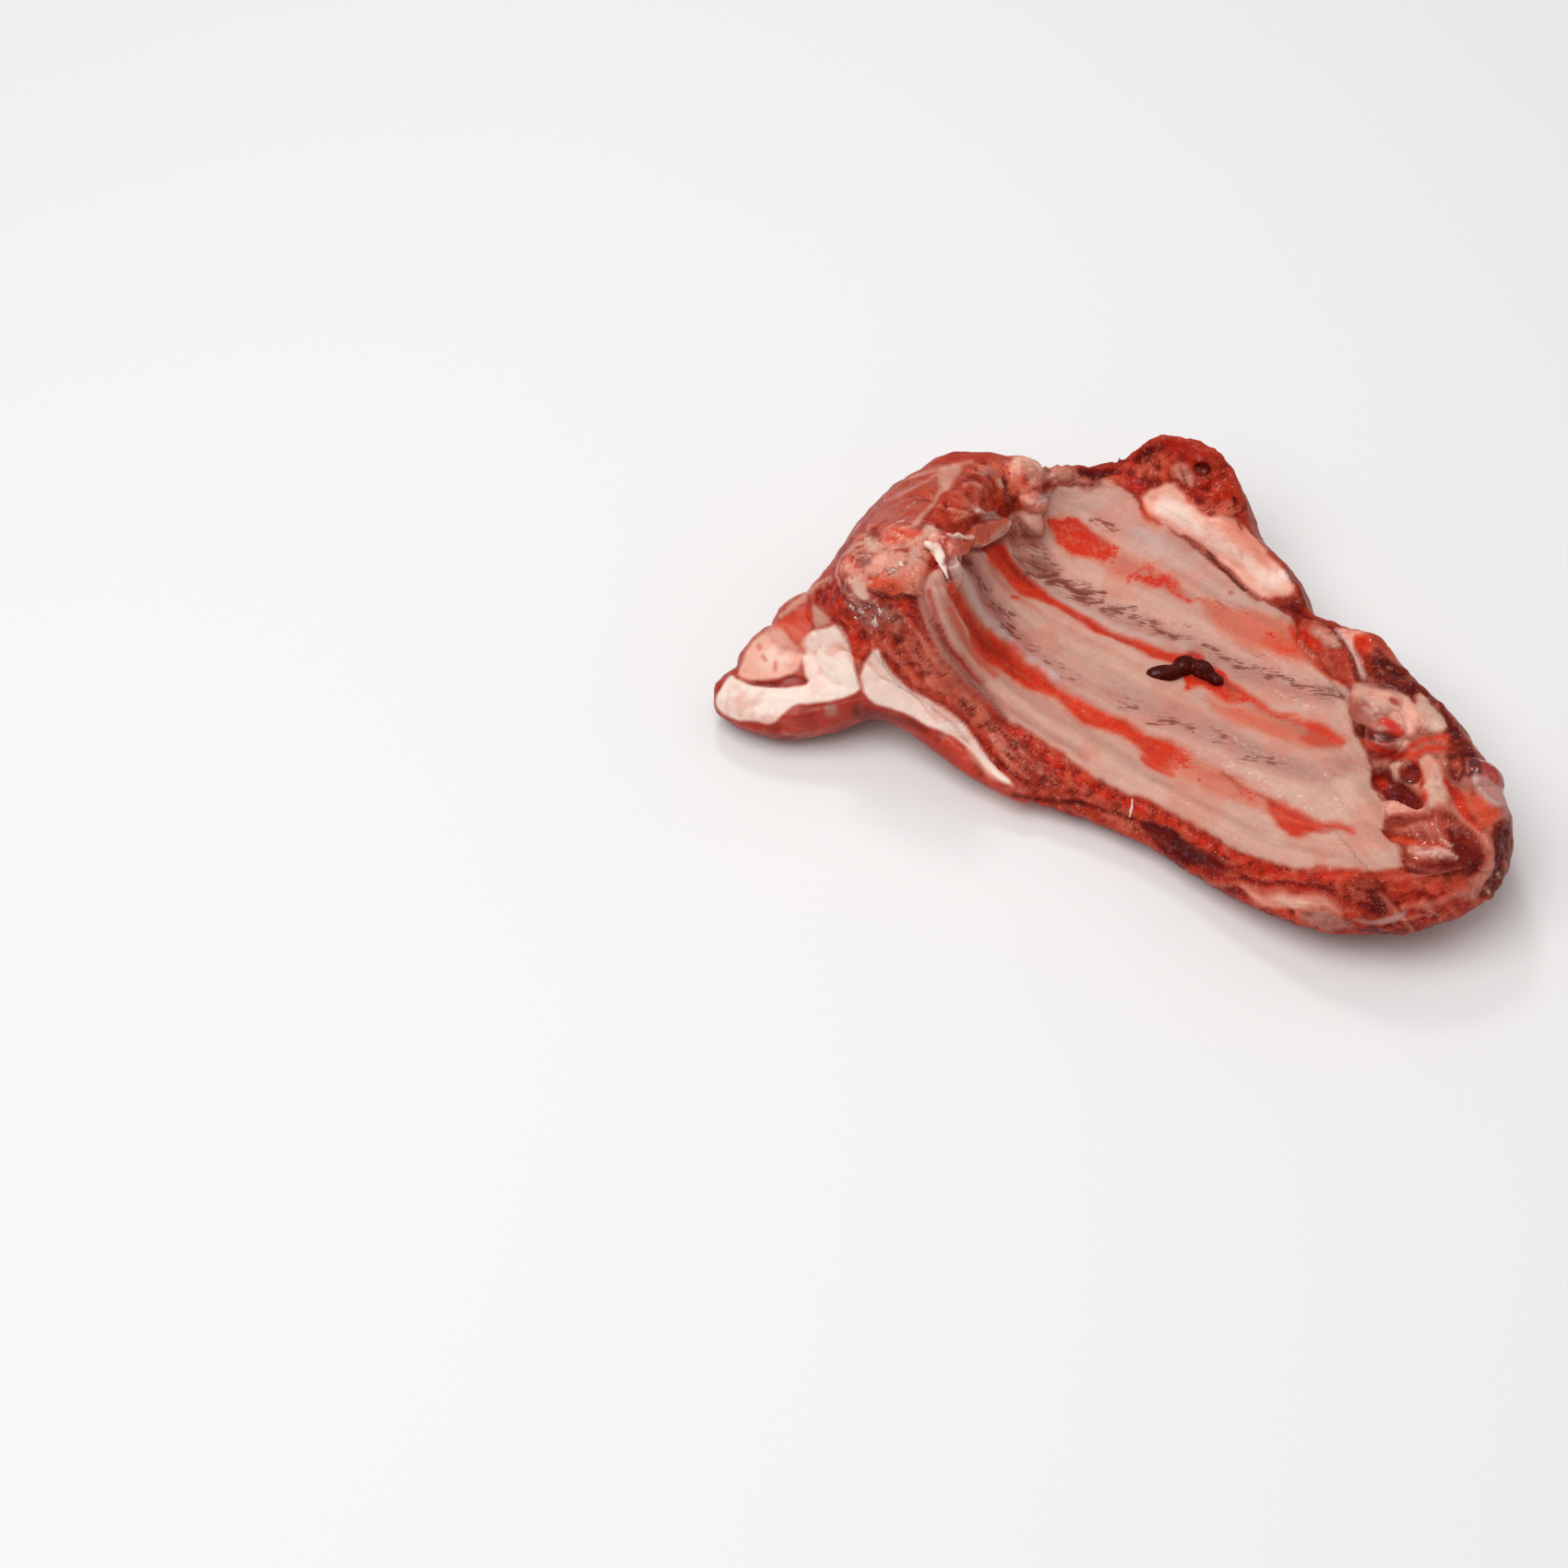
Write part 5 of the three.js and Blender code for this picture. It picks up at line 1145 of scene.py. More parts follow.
def far_strokes():
    """The ragged peak, the fat ridge below it and the flap beyond."""
    return (
        Stroke(PEAK, "meat_red", 1.0, soft=4, ragged=4, lift=0.2, **FLESH),
        Stroke(PEAK_TOP, "stripe_deep", 0.85, soft=5, ragged=5, grain=0.5),
        Stroke(PEAK_MAROON, "meat_dark", 0.85, soft=4, ragged=4),
        Stroke(PEAK_GRANULES, "salmon", 0.75, soft=4, ragged=6, grain=1.4, wet=1.0),
        Stroke(PEAK_RED_FOOT, "stripe_red", 0.8, soft=4, ragged=4),
        # Painted shade in the hole, over a carved dip.
        Stroke(PEAK_HOLE, "gap_shade", 0.9, soft=3, ragged=3, lift=-1.4),
        Stroke(PEAK_CHUNKS, "stripe_red", 0.7, soft=4, ragged=6, grain=1.4, wet=1.0),
        Stroke(FAT_RIDGE, "fat_pink", 1.0, soft=4, ragged=4, lift=0.5, **FATTY),
        Stroke(RIDGE_WHITE, "fat_and_glint_white", 0.8, soft=6, ragged=4, lift=0.3),
        Stroke(RIDGE_WHITE_LOW, "fat_and_glint_white", 0.65, soft=5, ragged=4, lift=0.3),
        Stroke(PEAK_GREY, "lining_pale", 0.9, soft=4, ragged=4, lift=0.4, grain=0.5),
        Stroke(PEAK_GREY_LINE, "meat_brown", 0.8, wide=1.5, soft=2.5, ragged=2, lift=-0.5),
        Stroke(PEAK_STREAK, "stripe_red", 0.85, wide=3, soft=3, ragged=4, lift=-0.3),
        Stroke(PEAK_PINK, "salmon", 0.9, soft=3, ragged=3, lift=0.5, grain=1.2, wet=1.0),
        *glints_along(PEAK_GLINTS),
        Stroke(RIDGE_BACK, "stripe_orange", 0.8, wide=4, soft=4, ragged=5),
        Stroke(RIDGE_BLUSH, "salmon", 0.5, soft=6, ragged=5),
        Stroke(RIDGE_ORANGE, "salmon", 0.5, soft=5, ragged=4),
        Stroke(RIDGE_NUB, "fat_and_glint_white", 0.9, soft=2.5, ragged=2, lift=0.5),
        Stroke(RIDGE_NOTCH, "stripe_deep", 0.95, wide=1.8, soft=2, lift=-0.6),
        Stroke(RIDGE_RED_EDGE, "stripe_deep", 0.85, wide=3, soft=3, ragged=3),
        Stroke(RIDGE_DARK_EDGE, "meat_maroon", 0.9, wide=3.5, soft=3, ragged=2),
        Stroke(BELOW_CREVICE, "lining_low", 0.7, wide=5, soft=4, lift=0.4),
        Stroke(CREVICE, "meat_brown", 0.8, wide=2.0, soft=2.5, ragged=2, lift=-0.9),
        # Painted shade in the deepest line of the crevice.
        Stroke(CREVICE_DEEP, "gap_shade", 0.95, wide=1.6, soft=1.8, ragged=1.5, lift=-1.0),
        Stroke(FLAP_LUMPS, "meat_brown", 0.95, soft=3, ragged=3, lift=0.5, grain=0.6, wet=0.9, lining=0.0),
        Stroke(FLAP_GREY, "lining_pale", 0.9, soft=4, ragged=3, lift=0.2),
        Stroke(FLAP_RED, "stripe_red", 0.9, soft=3, ragged=3, lift=-0.4),
        Stroke(FLAP_LUMP, "meat_red", 0.7, soft=3, ragged=3, lift=0.6),
        Stroke(FLAP_THREAD, "fat_cream", 0.8, wide=1.2, soft=1.8, ragged=1.5, lift=0.4),
        Stroke(KNOT, "meat_maroon", 1.0, soft=3, ragged=3, lift=0.7, grain=0.8, lining=0.0),
    )


def breast_strokes():
    """The breast end: dark muscle in pockets between knobs of fat and gristle, under a dark rim."""
    return (
        Stroke(BREAST_END, "fascia", 1.0, soft=4, lift=0.2, grain=0.5, wet=0.8, lining=0.0, fat=0.2),
        Stroke(BREAST_RIM, "meat_dark", 1.0, soft=3.5, ragged=4, lift=0.2, grain=0.9, fat=0.0, wet=0.6),
        Stroke(RIM_BLACK, "maroon_deep", 0.85, soft=5, ragged=5),
        Stroke(RIM_BLACK_LOW, "maroon_deep", 0.8, soft=4, ragged=4),
        Stroke(RIM_GREY, "meat_brown", 0.7, soft=3, ragged=3),
        *strokes_along(RIM_GLINTS, "fascia", 0.8, 1.6, wet=1.0),
        Stroke(PALE_FLAP, "fat_pink", 0.95, soft=2.5, ragged=2, lift=0.3, fat=0.6),
        Stroke(BREAST_RED_TAG, "stripe_red", 0.95, soft=3, ragged=3, wet=1.0),
        Stroke(FLAP_DARK_EDGE, "meat_maroon", 0.85, wide=1.6, soft=2, ragged=1.5, lift=-0.5),
        Stroke(FLAP_EDGE, "lilac", 0.8, wide=2.0, soft=2, ragged=1.5, lift=0.8),
        Stroke(BREAST_PALE, "fat_pink", 0.9, soft=4, ragged=4, lift=0.5, fat=0.6, grain=0.3),
        Stroke(PALE_KNOB, "lining_pale", 0.9, soft=3, ragged=3, lift=0.5),
        Stroke(ORANGE_KNOB, "fat_cream", 0.8, soft=3, ragged=3, lift=0.7),
        Stroke(BREAST_WHITE, "lining_low", 0.95, soft=3, ragged=3, lift=0.7, fat=0.8),
        Stroke(WHITE_SHINE, "fat_and_glint_white", 0.5, soft=4, wet=1.0),
        Stroke(BREAST_DOT, "stripe_deep", 0.85, soft=2.5, ragged=2, lift=-0.6),
        Stroke(BREAST_ORANGE, "orange_red", 1.0, soft=2.5, ragged=2.5, lift=0.5, wet=1.0),
        Stroke(POCKET_ONE, "meat_dark", 0.85, soft=2.5, ragged=2.5, lift=-1.4, **POCKET),
        Stroke(POCKET_ONE_RED, "orange_red", 0.95, soft=2.5, ragged=3, lift=-0.2, wet=1.0),
        Stroke(CREAM_LUMP, "fat_cream", 0.95, soft=2.5, ragged=2.5, lift=0.9),
        *strokes_along(RED_STRANDS, "stripe_red", 0.85, 3.0, soft=3, ragged=3, lift=0.2),
        Stroke(POCKET_TWO, "meat_maroon", 0.95, soft=2.5, ragged=2.5, lift=-1.6, **POCKET),
        Stroke(POCKET_TWO_RED, "stripe_red", 0.75, soft=3.5, ragged=3),
        Stroke(CREAM_TRIANGLE, "fat_cream", 0.9, soft=2, ragged=2, lift=0.6),
        Stroke(POCKET_THREE, "maroon_deep", 0.9, soft=2.5, ragged=2.5, lift=-0.9, **POCKET),
        *strokes_along(RED_SPECKS, "stripe_red", 0.85, 2.2, soft=2.5, ragged=3),
        Stroke(PALE_BETWEEN, "fat_cream", 0.85, soft=3, ragged=3, lift=0.7, fat=0.5),
        Stroke(RED_RING, "stripe_red", 0.8, soft=2.5, ragged=1.5, lift=-0.3),
        Stroke(PALE_SHELF, "fat_pink", 0.95, soft=2, ragged=2, lift=0.6),
        Stroke(END_MUSCLE, "meat_brown", 0.95, soft=2.5, ragged=2.5, lift=-1.0, **POCKET),
        Stroke(MUSCLE_PINK, "fascia", 0.55, soft=4, ragged=4),
        Stroke(MUSCLE_DARK, "meat_dark", 0.85, soft=5, ragged=4, lift=-0.2),
        *strokes_along(MUSCLE_PALE_LINES, "lining_grey", 0.75, 1.2, soft=1.8, lift=0.3),
        Stroke(MUSCLE_RED, "stripe_orange", 0.9, soft=2.5, ragged=2.5, lift=0.2, wet=1.0),
        Stroke(PALE_LENS, "fat_pink", 0.85, soft=4, ragged=3, lift=0.5),
        # Painted highlight streaks.
        *strokes_along(WET_GLINT_STREAKS, "fat_and_glint_white", 0.85, 1.6, soft=2, ragged=2, wet=1.0, lift=0.3),
        Stroke(RED_CREASE, "stripe_red", 0.7, wide=1.4, soft=2, ragged=2, lift=-0.3),
        Stroke(POCKET_FIVE, "meat_maroon", 0.95, soft=3, ragged=3, lift=-0.5, **POCKET),
        Stroke(FIVE_PALE_LINE, "fascia", 0.8, wide=1.2, soft=1.8, ragged=1.5, lift=0.4),
        Stroke(LOW_MUSCLE, "stripe_deep", 0.8, soft=4, ragged=4, grain=1.0, wet=1.0),
        Stroke(LOW_VIVID, "orange_red", 0.75, soft=5, ragged=5),
        Stroke(BREAST_RED, "stripe_red", 0.95, soft=3, ragged=3, lift=-0.2),
        Stroke(BREAST_ORANGE_LOW, "stripe_orange", 0.8, soft=4, ragged=3),
        Stroke(END_DARK, "meat_dark", 0.95, soft=3.5, ragged=4, lift=0.1, grain=1.0, wet=0.5),
        Stroke(END_BLACK, "maroon_deep", 0.7, soft=5, ragged=4),
        *strokes_along(END_SPOTS, "fat_cream", 0.85, 1.8, soft=2),
        Stroke(JELLY, "jelly", 0.75, soft=2.5, ragged=1.5, lift=0.5, wet=1.0, fat=0.6, grain=0.0),
        # Painted glint along the gristle.
        Stroke(JELLY_GLINT_LINE, "lilac", 0.7, wide=1.4, soft=2, ragged=1.5, lift=0.3),
        Stroke(END_LOW_RED, "meat_red", 0.8, soft=5, ragged=5),
        *strokes_along(LOW_FIBRES, "fat_pink", 0.6, 1.2, soft=2, ragged=2, lift=0.3),
        Stroke(WALL_LILAC, "jelly", 0.9, soft=2.5, ragged=2, lift=0.4, lining=0.4, grain=0.1),
        Stroke(FOOT_CORNER, "meat_dark", 0.85, soft=4, ragged=3),
        Stroke(FAT_ARC, "bone_pink", 0.8, wide=2.2, soft=4, ragged=5, lift=0.6, fat=0.3),
        Stroke(END_FOOT, "meat_dark", 0.8, wide=4, soft=4, ragged=3),
        Stroke(END_FOOT_LINE, "maroon_deep", 0.8, wide=2.5, soft=3, ragged=2),
    )


def slab_strokes():
    """The skin's areas and lines, from the broad ones to the small ones that lie on them."""
    return (
        lining_strokes() + loin_strokes() + backbone_strokes() + corner_strokes() + wall_strokes()
        + far_strokes() + breast_strokes()
    )


MASKS = ("grain", "lining", "wet", "fat", "hatch", "vein", "glint")
MARKS = MASKS + ("teeth", "curved")


def colour_of(name):
    return np.array(getattr(bpy.context.scene.rib_colours, name))


def blend_tone(skin, where, name, weight):
    skin.tone[where] += (colour_of(name) - skin.tone[where]) * weight[:, None]


def paint_outer_side(skin):
    """The side away from the ribs: red muscle with streaks of fascia and patches of fat."""
    everywhere = np.arange(len(skin.points))
    skin.tone = np.tile(colour_of("outer_meat"), (len(skin.points), 1))
    skin.lift = np.zeros(len(skin.points))
    skin.marks = {name: np.zeros(len(skin.points)) for name in MARKS}
    skin.marks["grain"] += 0.4
    skin.marks["wet"] += 0.5
    stretched = skin.slab_place * (0.35, 1.0, 1.0)
    patches = crumpled(stretched, 13.0, 31)
    streaks = crumpled(skin.slab_place * (0.12, 1.0, 1.0), 2.4, 35)
    blend_tone(skin, everywhere, "meat_maroon", ease(0.1, 0.9, -patches) * 0.6)
    blend_tone(skin, everywhere, "fascia", ease(0.0, 0.7, patches + 0.25 * streaks) * 0.8)
    blend_tone(skin, everywhere, "fat_pink", ease(0.55, 0.85, patches + 0.3 * streaks) * 0.8)
    blend_tone(skin, everywhere, "meat_red", ease(0.3, 0.9, streaks) * 0.35)
    skin.marks["fat"] += ease(0.55, 0.85, patches + 0.3 * streaks)


def paint_strokes(skin):
    """The side that the photograph shows: the strokes in their order."""
    everywhere = np.arange(len(skin.points))
    blend_tone(skin, everywhere, "meat_red", skin.seen * 0.85)
    for stroke in slab_strokes():
        reached, weight = stroke.cover(skin)
        if stroke.tone:
            blend_tone(skin, reached, stroke.tone, weight * stroke.share)
        skin.lift[reached] += weight * stroke.lift
        for name, value in stroke.marks.items():
            skin.marks[name][reached] += (value - skin.marks[name][reached]) * weight


def choose_way(skin):
    """Which way the fibres run: along the curved ribs on and below the lining, else along the slab."""
    curved = skin.marks["curved"] > 0.3
    skin.way = np.where(curved[:, None], skin.rib_place, skin.slab_place)


def stain(skin):
    """Uneven colour within the painted areas: blotches in muscle, fibres, and blood on fat."""
    everywhere = np.arange(len(skin.points))
    flesh = skin.marks["grain"] * (1 - skin.marks["fat"])
    blotch = crumpled(skin.mm, 4.5, 41)
    speck = crumpled(skin.mm, 1.5, 44, 2)
    fibre = ripple(skin.way * (0.16, 1.0, 0.6), 1.8, 47)
    lined_fibre = crumpled(skin.rib_place * (0.07, 1.0, 0.0), 3.0, 51, 2)
    blush = crumpled(skin.mm, 9.0, 54)
    blend_tone(skin, everywhere, "meat_dark", np.clip(flesh, 0, 1) * ease(0.15, 0.9, blotch + 0.4 * speck) * 0.5)
    blend_tone(skin, everywhere, "salmon", np.clip(flesh, 0, 1) * ease(0.3, 0.9, -blotch + 0.5 * speck) * 0.5)
    blend_tone(skin, everywhere, "fat_pink", np.clip(flesh, 0, 1) * ease(0.45, 0.95, fibre) * 0.45)
    lined = skin.marks["lining"] * (1 - np.clip(skin.marks["grain"], 0, 1))
    blend_tone(skin, everywhere, "lining_grey", lined * ease(0.1, 0.9, lined_fibre) * 0.35)
    blend_tone(skin, everywhere, "lining_low", lined * ease(0.1, 0.9, -lined_fibre) * 0.3)
    blend_tone(skin, everywhere, "salmon", lined * ease(0.1, 0.8, blush) * 0.22)
    fat = skin.marks["fat"]
    blend_tone(skin, everywhere, "bone_pink", fat * ease(0.25, 0.9, blush + 0.3 * speck) * 0.4)
    comb = ripple(skin.rib_place * (1.0, 0.12, 0.0), 1.3, 57)
    blend_tone(skin, everywhere, "fat_pink", skin.marks["teeth"] * ease(0.0, 0.5, comb) * 0.3)
    blend_tone(skin, everywhere, "stripe_deep", skin.marks["teeth"] * ease(0.1, 0.6, -comb) * 0.3)


def teeth_relief(skin):
    """The torn ends of the muscle fibres along the lining's near edge, each 2 to 3 mm wide."""
    along = skin.rib_place * (1.0, 0.25, 0.0)
    return (ridged(along, 3.2, 61) - 0.5) * skin.marks["teeth"]


def relief(skin, sizes):
    """Millimetres that each point moves out: torn grain, fibres, swells in fat and soft waves."""
    grain = sizes.grain / MM
    marks = skin.marks
    lumps = crumpled(skin.mm, 3.4, 71)
    cells = ridged(skin.mm, 2.1, 75) - 0.5
    swells = crumpled(skin.mm, 6.5, 78, 2)
    strands = ripple(skin.way * (0.12, 1.0, 0.4), 1.9, 81)
    waves = crumpled(skin.rib_place * (0.1, 1.0, 0.0), 4.2, 84, 2)
    amount = skin.lift + grain * marks["grain"] * (0.9 * lumps + 0.7 * cells)
    amount += sizes.fibre / MM * strands * (1.2 - 0.5 * marks["lining"] - 0.8 * marks["fat"])
    amount += sizes.lobes / MM * marks["fat"] * swells
    amount += 0.25 * marks["lining"] * waves
    amount += 0.5 * teeth_relief(skin)
    return amount


def paint_crease_shade_and_ridge_light(skin):
    """Painted shade darkens the creases of the carved skin, and painted light makes the ridges between them paler."""
    everywhere = np.arange(len(skin.points))
    skin.find_normals()
    bulge = ((skin.points - skin.spread(skin.points)) * skin.normals).sum(1) / MM
    bulge = skin.spread(skin.spread(bulge[:, None]))[:, 0]
    flesh = np.clip(skin.marks["grain"], 0, 1)
    pale = np.maximum(skin.marks["fat"], skin.marks["lining"])
    crease = ease(0.004, 0.045, -bulge)
    ridge = ease(0.006, 0.05, bulge)
    # Painted shade in the creases, then painted light on the ridges.
    blend_tone(skin, everywhere, "meat_dark", crease * (0.25 + 0.45 * flesh) * (1 - 0.8 * pale))
    blend_tone(skin, everywhere, "bone_pink", crease * pale * 0.35)
    blend_tone(skin, everywhere, "salmon", ridge * flesh * (1 - pale) * 0.3)


class Shade:
    """A socket of a material's nodes, so that shader maths reads as Python expressions."""

    def __init__(self, tree, socket=None):
        self.tree = tree
        self.socket = socket

    def node(self, kind, settings=None, inputs=None, output=0):
        """Adds a node of that kind: its settings first, then its sockets' values or links."""
        made = self.tree.nodes.new(kind)
        for name, value in (settings or {}).items():
            setattr(made, name, value)
        for name, value in (inputs or {}).items():
            if isinstance(value, Shade):
                self.tree.links.new(value.socket, made.inputs[name])
            else:
                made.inputs[name].default_value = value
        return Shade(self.tree, made.outputs[output])

    def math(self, operation, first, second=0.0):
        return self.node("ShaderNodeMath", {"operation": operation}, {0: first, 1: second})

    def __add__(self, other):
        return self.math("ADD", self, other)

    __radd__ = __add__

    def __mul__(self, other):
        return self.math("MULTIPLY", self, other)

    __rmul__ = __mul__

    def __sub__(self, other):
        return self.math("SUBTRACT", self, other)

    def __rsub__(self, other):
        return self.math("SUBTRACT", other, self)

    def step(self, low, high):
        """0 below low, 1 above high, and smooth between them."""
        return self.node(
            "ShaderNodeMapRange", {"interpolation_type": "SMOOTHSTEP"},
            {"Value": self, "From Min": low, "From Max": high},
        )

    def choose(self, none, full):
        """The colour none where this value is 0, and full where it is 1."""
        return self.node(
            "ShaderNodeMix", {"data_type": "RGBA"}, {0: self, 6: none, 7: full}, output=2,
        )

    def stretch(self, *shares):
        return self.node("ShaderNodeVectorMath", {"operation": "MULTIPLY"}, {0: self, 1: shares})

    def bright(self, factor):
        """This colour made brighter or darker by a value."""
        return self.node("ShaderNodeVectorMath", {"operation": "SCALE"}, {0: self, "Scale": factor})

    def noise(self, scale, detail=2.0, rough=0.55):
        return self.node(
            "ShaderNodeTexNoise", None,
            {"Vector": self, "Scale": scale, "Detail": detail, "Roughness": rough},
        )

    def cracks(self, scale):
        """The distance to the border of the nearest cell."""
        return self.node(
            "ShaderNodeTexVoronoi", {"feature": "DISTANCE_TO_EDGE"}, {"Vector": self, "Scale": scale},
        )


def linear_colour(name):
    """A named colour as the shader wants it."""
    return (*[float(value) for value in without_shine(colour_of(name))], 1.0)


def attribute(start, name, output=2):
    return start.node("ShaderNodeAttribute", {"attribute_name": name}, output=output)


def wet_surface(name, colour, roughness, height, coat, gloss):
    """A Principled surface with a bump, a wet coat and light that goes a little way in."""
    start = colour
    tree = start.tree
    bump = start.node(
        "ShaderNodeBump", None,
        {"Strength": gloss["bump"], "Distance": bpy.context.scene.rib_sizes.bump, "Height": height},
    )
    shader = tree.nodes["Principled BSDF"]
    tree.links.new(colour.socket, shader.inputs["Base Color"])
    tree.links.new(roughness.socket, shader.inputs["Roughness"])
    tree.links.new(bump.socket, shader.inputs["Normal"])
    tree.links.new(coat.socket, shader.inputs["Coat Weight"])
    shader.inputs["Coat Roughness"].default_value = gloss["coat_roughness"]
    shader.inputs["Subsurface Weight"].default_value = gloss["depth_share"]
    shader.inputs["Subsurface Radius"].default_value = gloss["depth_colour"]
    shader.inputs["Subsurface Scale"].default_value = gloss["depth"]
    shader.inputs["Specular IOR Level"].default_value = gloss["specular"]


def new_material(name):
    material = bpy.data.materials.new(name)
    material.use_nodes = True
    return material, Shade(material.node_tree)


def meat_material():
    """Muscle and lining: fibres, oblique hatch marks, red granules, pale threads, wet grain and painted white glints.
    """
    material, start = new_material("raw_meat")
    tone = attribute(start, "tone", 0)
    way = attribute(start, "way", 1)
    grain, lining, wet = (attribute(start, mask) for mask in ("grain", "lining", "wet"))
    hatch, vein, fat = (attribute(start, mask) for mask in ("hatch", "vein", "fat"))
    glint = attribute(start, "glint")
    place = start.node("ShaderNodeTexCoord", output=3)
    fibres = way.stretch(0.11, 1.0, 0.5).noise(0.85, 3.0)
    threads = way.stretch(0.1, 1.0, 0.5).noise(2.2, 2.0)
    mottle = place.noise(230.0, 3.0)
    specks = place.noise(950.0, 3.0, 0.65)
    grit = place.noise(1500.0, 3.0, 0.7)
    clouds = place.noise(140.0, 3.0, 0.6)
    bright = 1.0 + (fibres - 0.5) * (0.36 - lining * 0.14) + (mottle - 0.5) * 0.3
    bright = bright + (specks - 0.5) * (0.24 + grain * 0.4) + (grit - 0.5) * 0.3
    colour = tone.bright(bright)
    warm = clouds.step(0.5, 0.68) * (0.12 + grain * 0.2)
    colour = warm.choose(colour, linear_colour("stripe_orange"))
    slanted = way.node(
        "ShaderNodeVectorRotate", {"rotation_type": "Z_AXIS"}, {"Vector": way, "Angle": math.radians(-20)},
    )
    strokes = slanted.stretch(0.3, 1.0, 0.0).noise(1.5, 3.0, 0.55)
    marks = (hatch + (strokes - 0.5) * 1.8).step(0.42, 0.72)
    colour = (marks * (0.3 + hatch * 0.7)).choose(colour, linear_colour("hatch_and_shadow_dark"))
    granules = (vein + (grit - 0.5) * 0.6 + (mottle - 0.5) * 1.3 + (specks - 0.5) * 1.2).step(0.5, 0.7)
    colour = (granules * 0.85).choose(colour, linear_colour("stripe_red"))
    crumbs = (grit * 0.6 + threads * 0.4).step(0.56, 0.68) * grain * (1.0 - fat) * 0.45
    colour = crumbs.choose(colour, linear_colour("fat_pink"))
    # Painted highlights: white sparks where the glint field is high, which also raise the coat.
    sparks = (glint + (grit - 0.5) * 1.5).step(0.5, 0.66)
    colour = (sparks * 0.7).choose(colour, linear_colour("fat_and_glint_white"))
    height = fibres * 0.5 + threads * 0.25 + specks * (grain * 0.9 + 0.2) + mottle * 0.3 + sparks * 0.4
    height = height + grit * (grain * 0.35 + 0.08) - marks * 0.25
    roughness = 0.52 - wet * 0.15 + (specks - 0.5) * 0.3
    film = specks.step(0.52, 0.66) * wet * (0.8 - lining * 0.35)
    gloss = {
        "bump": 0.9, "coat_roughness": 0.12, "depth_share": 0.12, "depth_colour": (1.0, 0.3, 0.2),
        "depth": 0.0011, "specular": 0.1,
    }
    wet_surface("raw_meat", colour, roughness, height, film + sparks * 0.4, gloss)
    return material


def fat_material():
    """Hard fat: faint lobules, a waxy sheen and a blush of blood."""
    material, start = new_material("hard_fat")
    tone = attribute(start, "tone", 0)
    wet = attribute(start, "wet")
    place = start.node("ShaderNodeTexCoord", output=3)
    lobules = place.cracks(420.0)
    mottle = place.noise(180.0, 3.0)
    specks = place.noise(1200.0, 2.0)
    blood = place.noise(110.0, 4.0, 0.6).step(0.56, 0.74) * 0.4
    colour = tone.bright(0.97 + (mottle - 0.5) * 0.16 + lobules.step(0.0, 0.25) * 0.04)
    colour = blood.choose(colour, linear_colour("bone_pink"))
    height = lobules.step(0.0, 0.4) * 0.35 + mottle * 0.5 + specks * 0.12
    roughness = 0.46 + (mottle - 0.5) * 0.25
    coat = (wet * 0.5) * mottle.step(0.4, 0.66)
    gloss = {
        "bump": 0.55, "coat_roughness": 0.14, "depth_share": 0.25, "depth_colour": (1.0, 0.55, 0.4),
        "depth": 0.0018, "specular": 0.3,
    }
    wet_surface("hard_fat", colour, roughness, height, coat, gloss)
    return material


def bone_material():
    """Sawn bone and marrow: red pores, pale struts and a wet film."""
    material, start = new_material("sawn_bone")
    tone = attribute(start, "tone", 0)
    wet = attribute(start, "wet")
    place = start.node("ShaderNodeTexCoord", output=3)
    pores = place.cracks(620.0)
    mottle = place.noise(360.0, 4.0, 0.65)
    specks = place.noise(1300.0, 2.0)
    colour = tone.bright(1.0 + (mottle - 0.5) * 0.7)
    marrow = mottle.step(0.5, 0.66) * pores.step(0.05, 0.3) * 0.8
    colour = marrow.choose(colour, linear_colour("stripe_red"))
    pale = place.noise(480.0, 4.0, 0.65).step(0.48, 0.68) * 0.55
    colour = pale.choose(colour, linear_colour("fat_pink"))
    height = mottle * 0.7 + specks * 0.25 + pores.step(0.0, 0.3) * 0.1
    roughness = 0.44 + (specks - 0.5) * 0.3
    coat = (wet * 0.6) * mottle.step(0.4, 0.62)
    gloss = {
        "bump": 0.8, "coat_roughness": 0.1, "depth_share": 0.15, "depth_colour": (1.0, 0.45, 0.3),
        "depth": 0.0012, "specular": 0.3,
    }
    wet_surface("sawn_bone", colour, roughness, height, coat, gloss)
    return material


def gristle_material():
    """Gristle: clouded, smooth and slippery."""
    material, start = new_material("wet_gristle")
    tone = attribute(start, "tone", 0)
    place = start.node("ShaderNodeTexCoord", output=3)
    clouds = place.noise(260.0, 3.0)
    streaks = attribute(start, "way", 1).stretch(0.15, 1.0, 0.6).noise(1.1, 3.0)
    colour = tone.bright(0.97 + (clouds - 0.5) * 0.3)
    colour = (streaks.step(0.52, 0.7) * 0.4).choose(colour, linear_colour("stripe_red"))
    height = clouds * 0.6 + streaks * 0.4
    roughness = 0.3 + (clouds - 0.5) * 0.25
    coat = clouds.step(0.4, 0.6) * 0.5
    gloss = {
        "bump": 0.45, "coat_roughness": 0.08, "depth_share": 0.4, "depth_colour": (1.0, 0.5, 0.4),
        "depth": 0.003, "specular": 0.5,
    }
    wet_surface("wet_gristle", colour, roughness, height, coat, gloss)
    return material


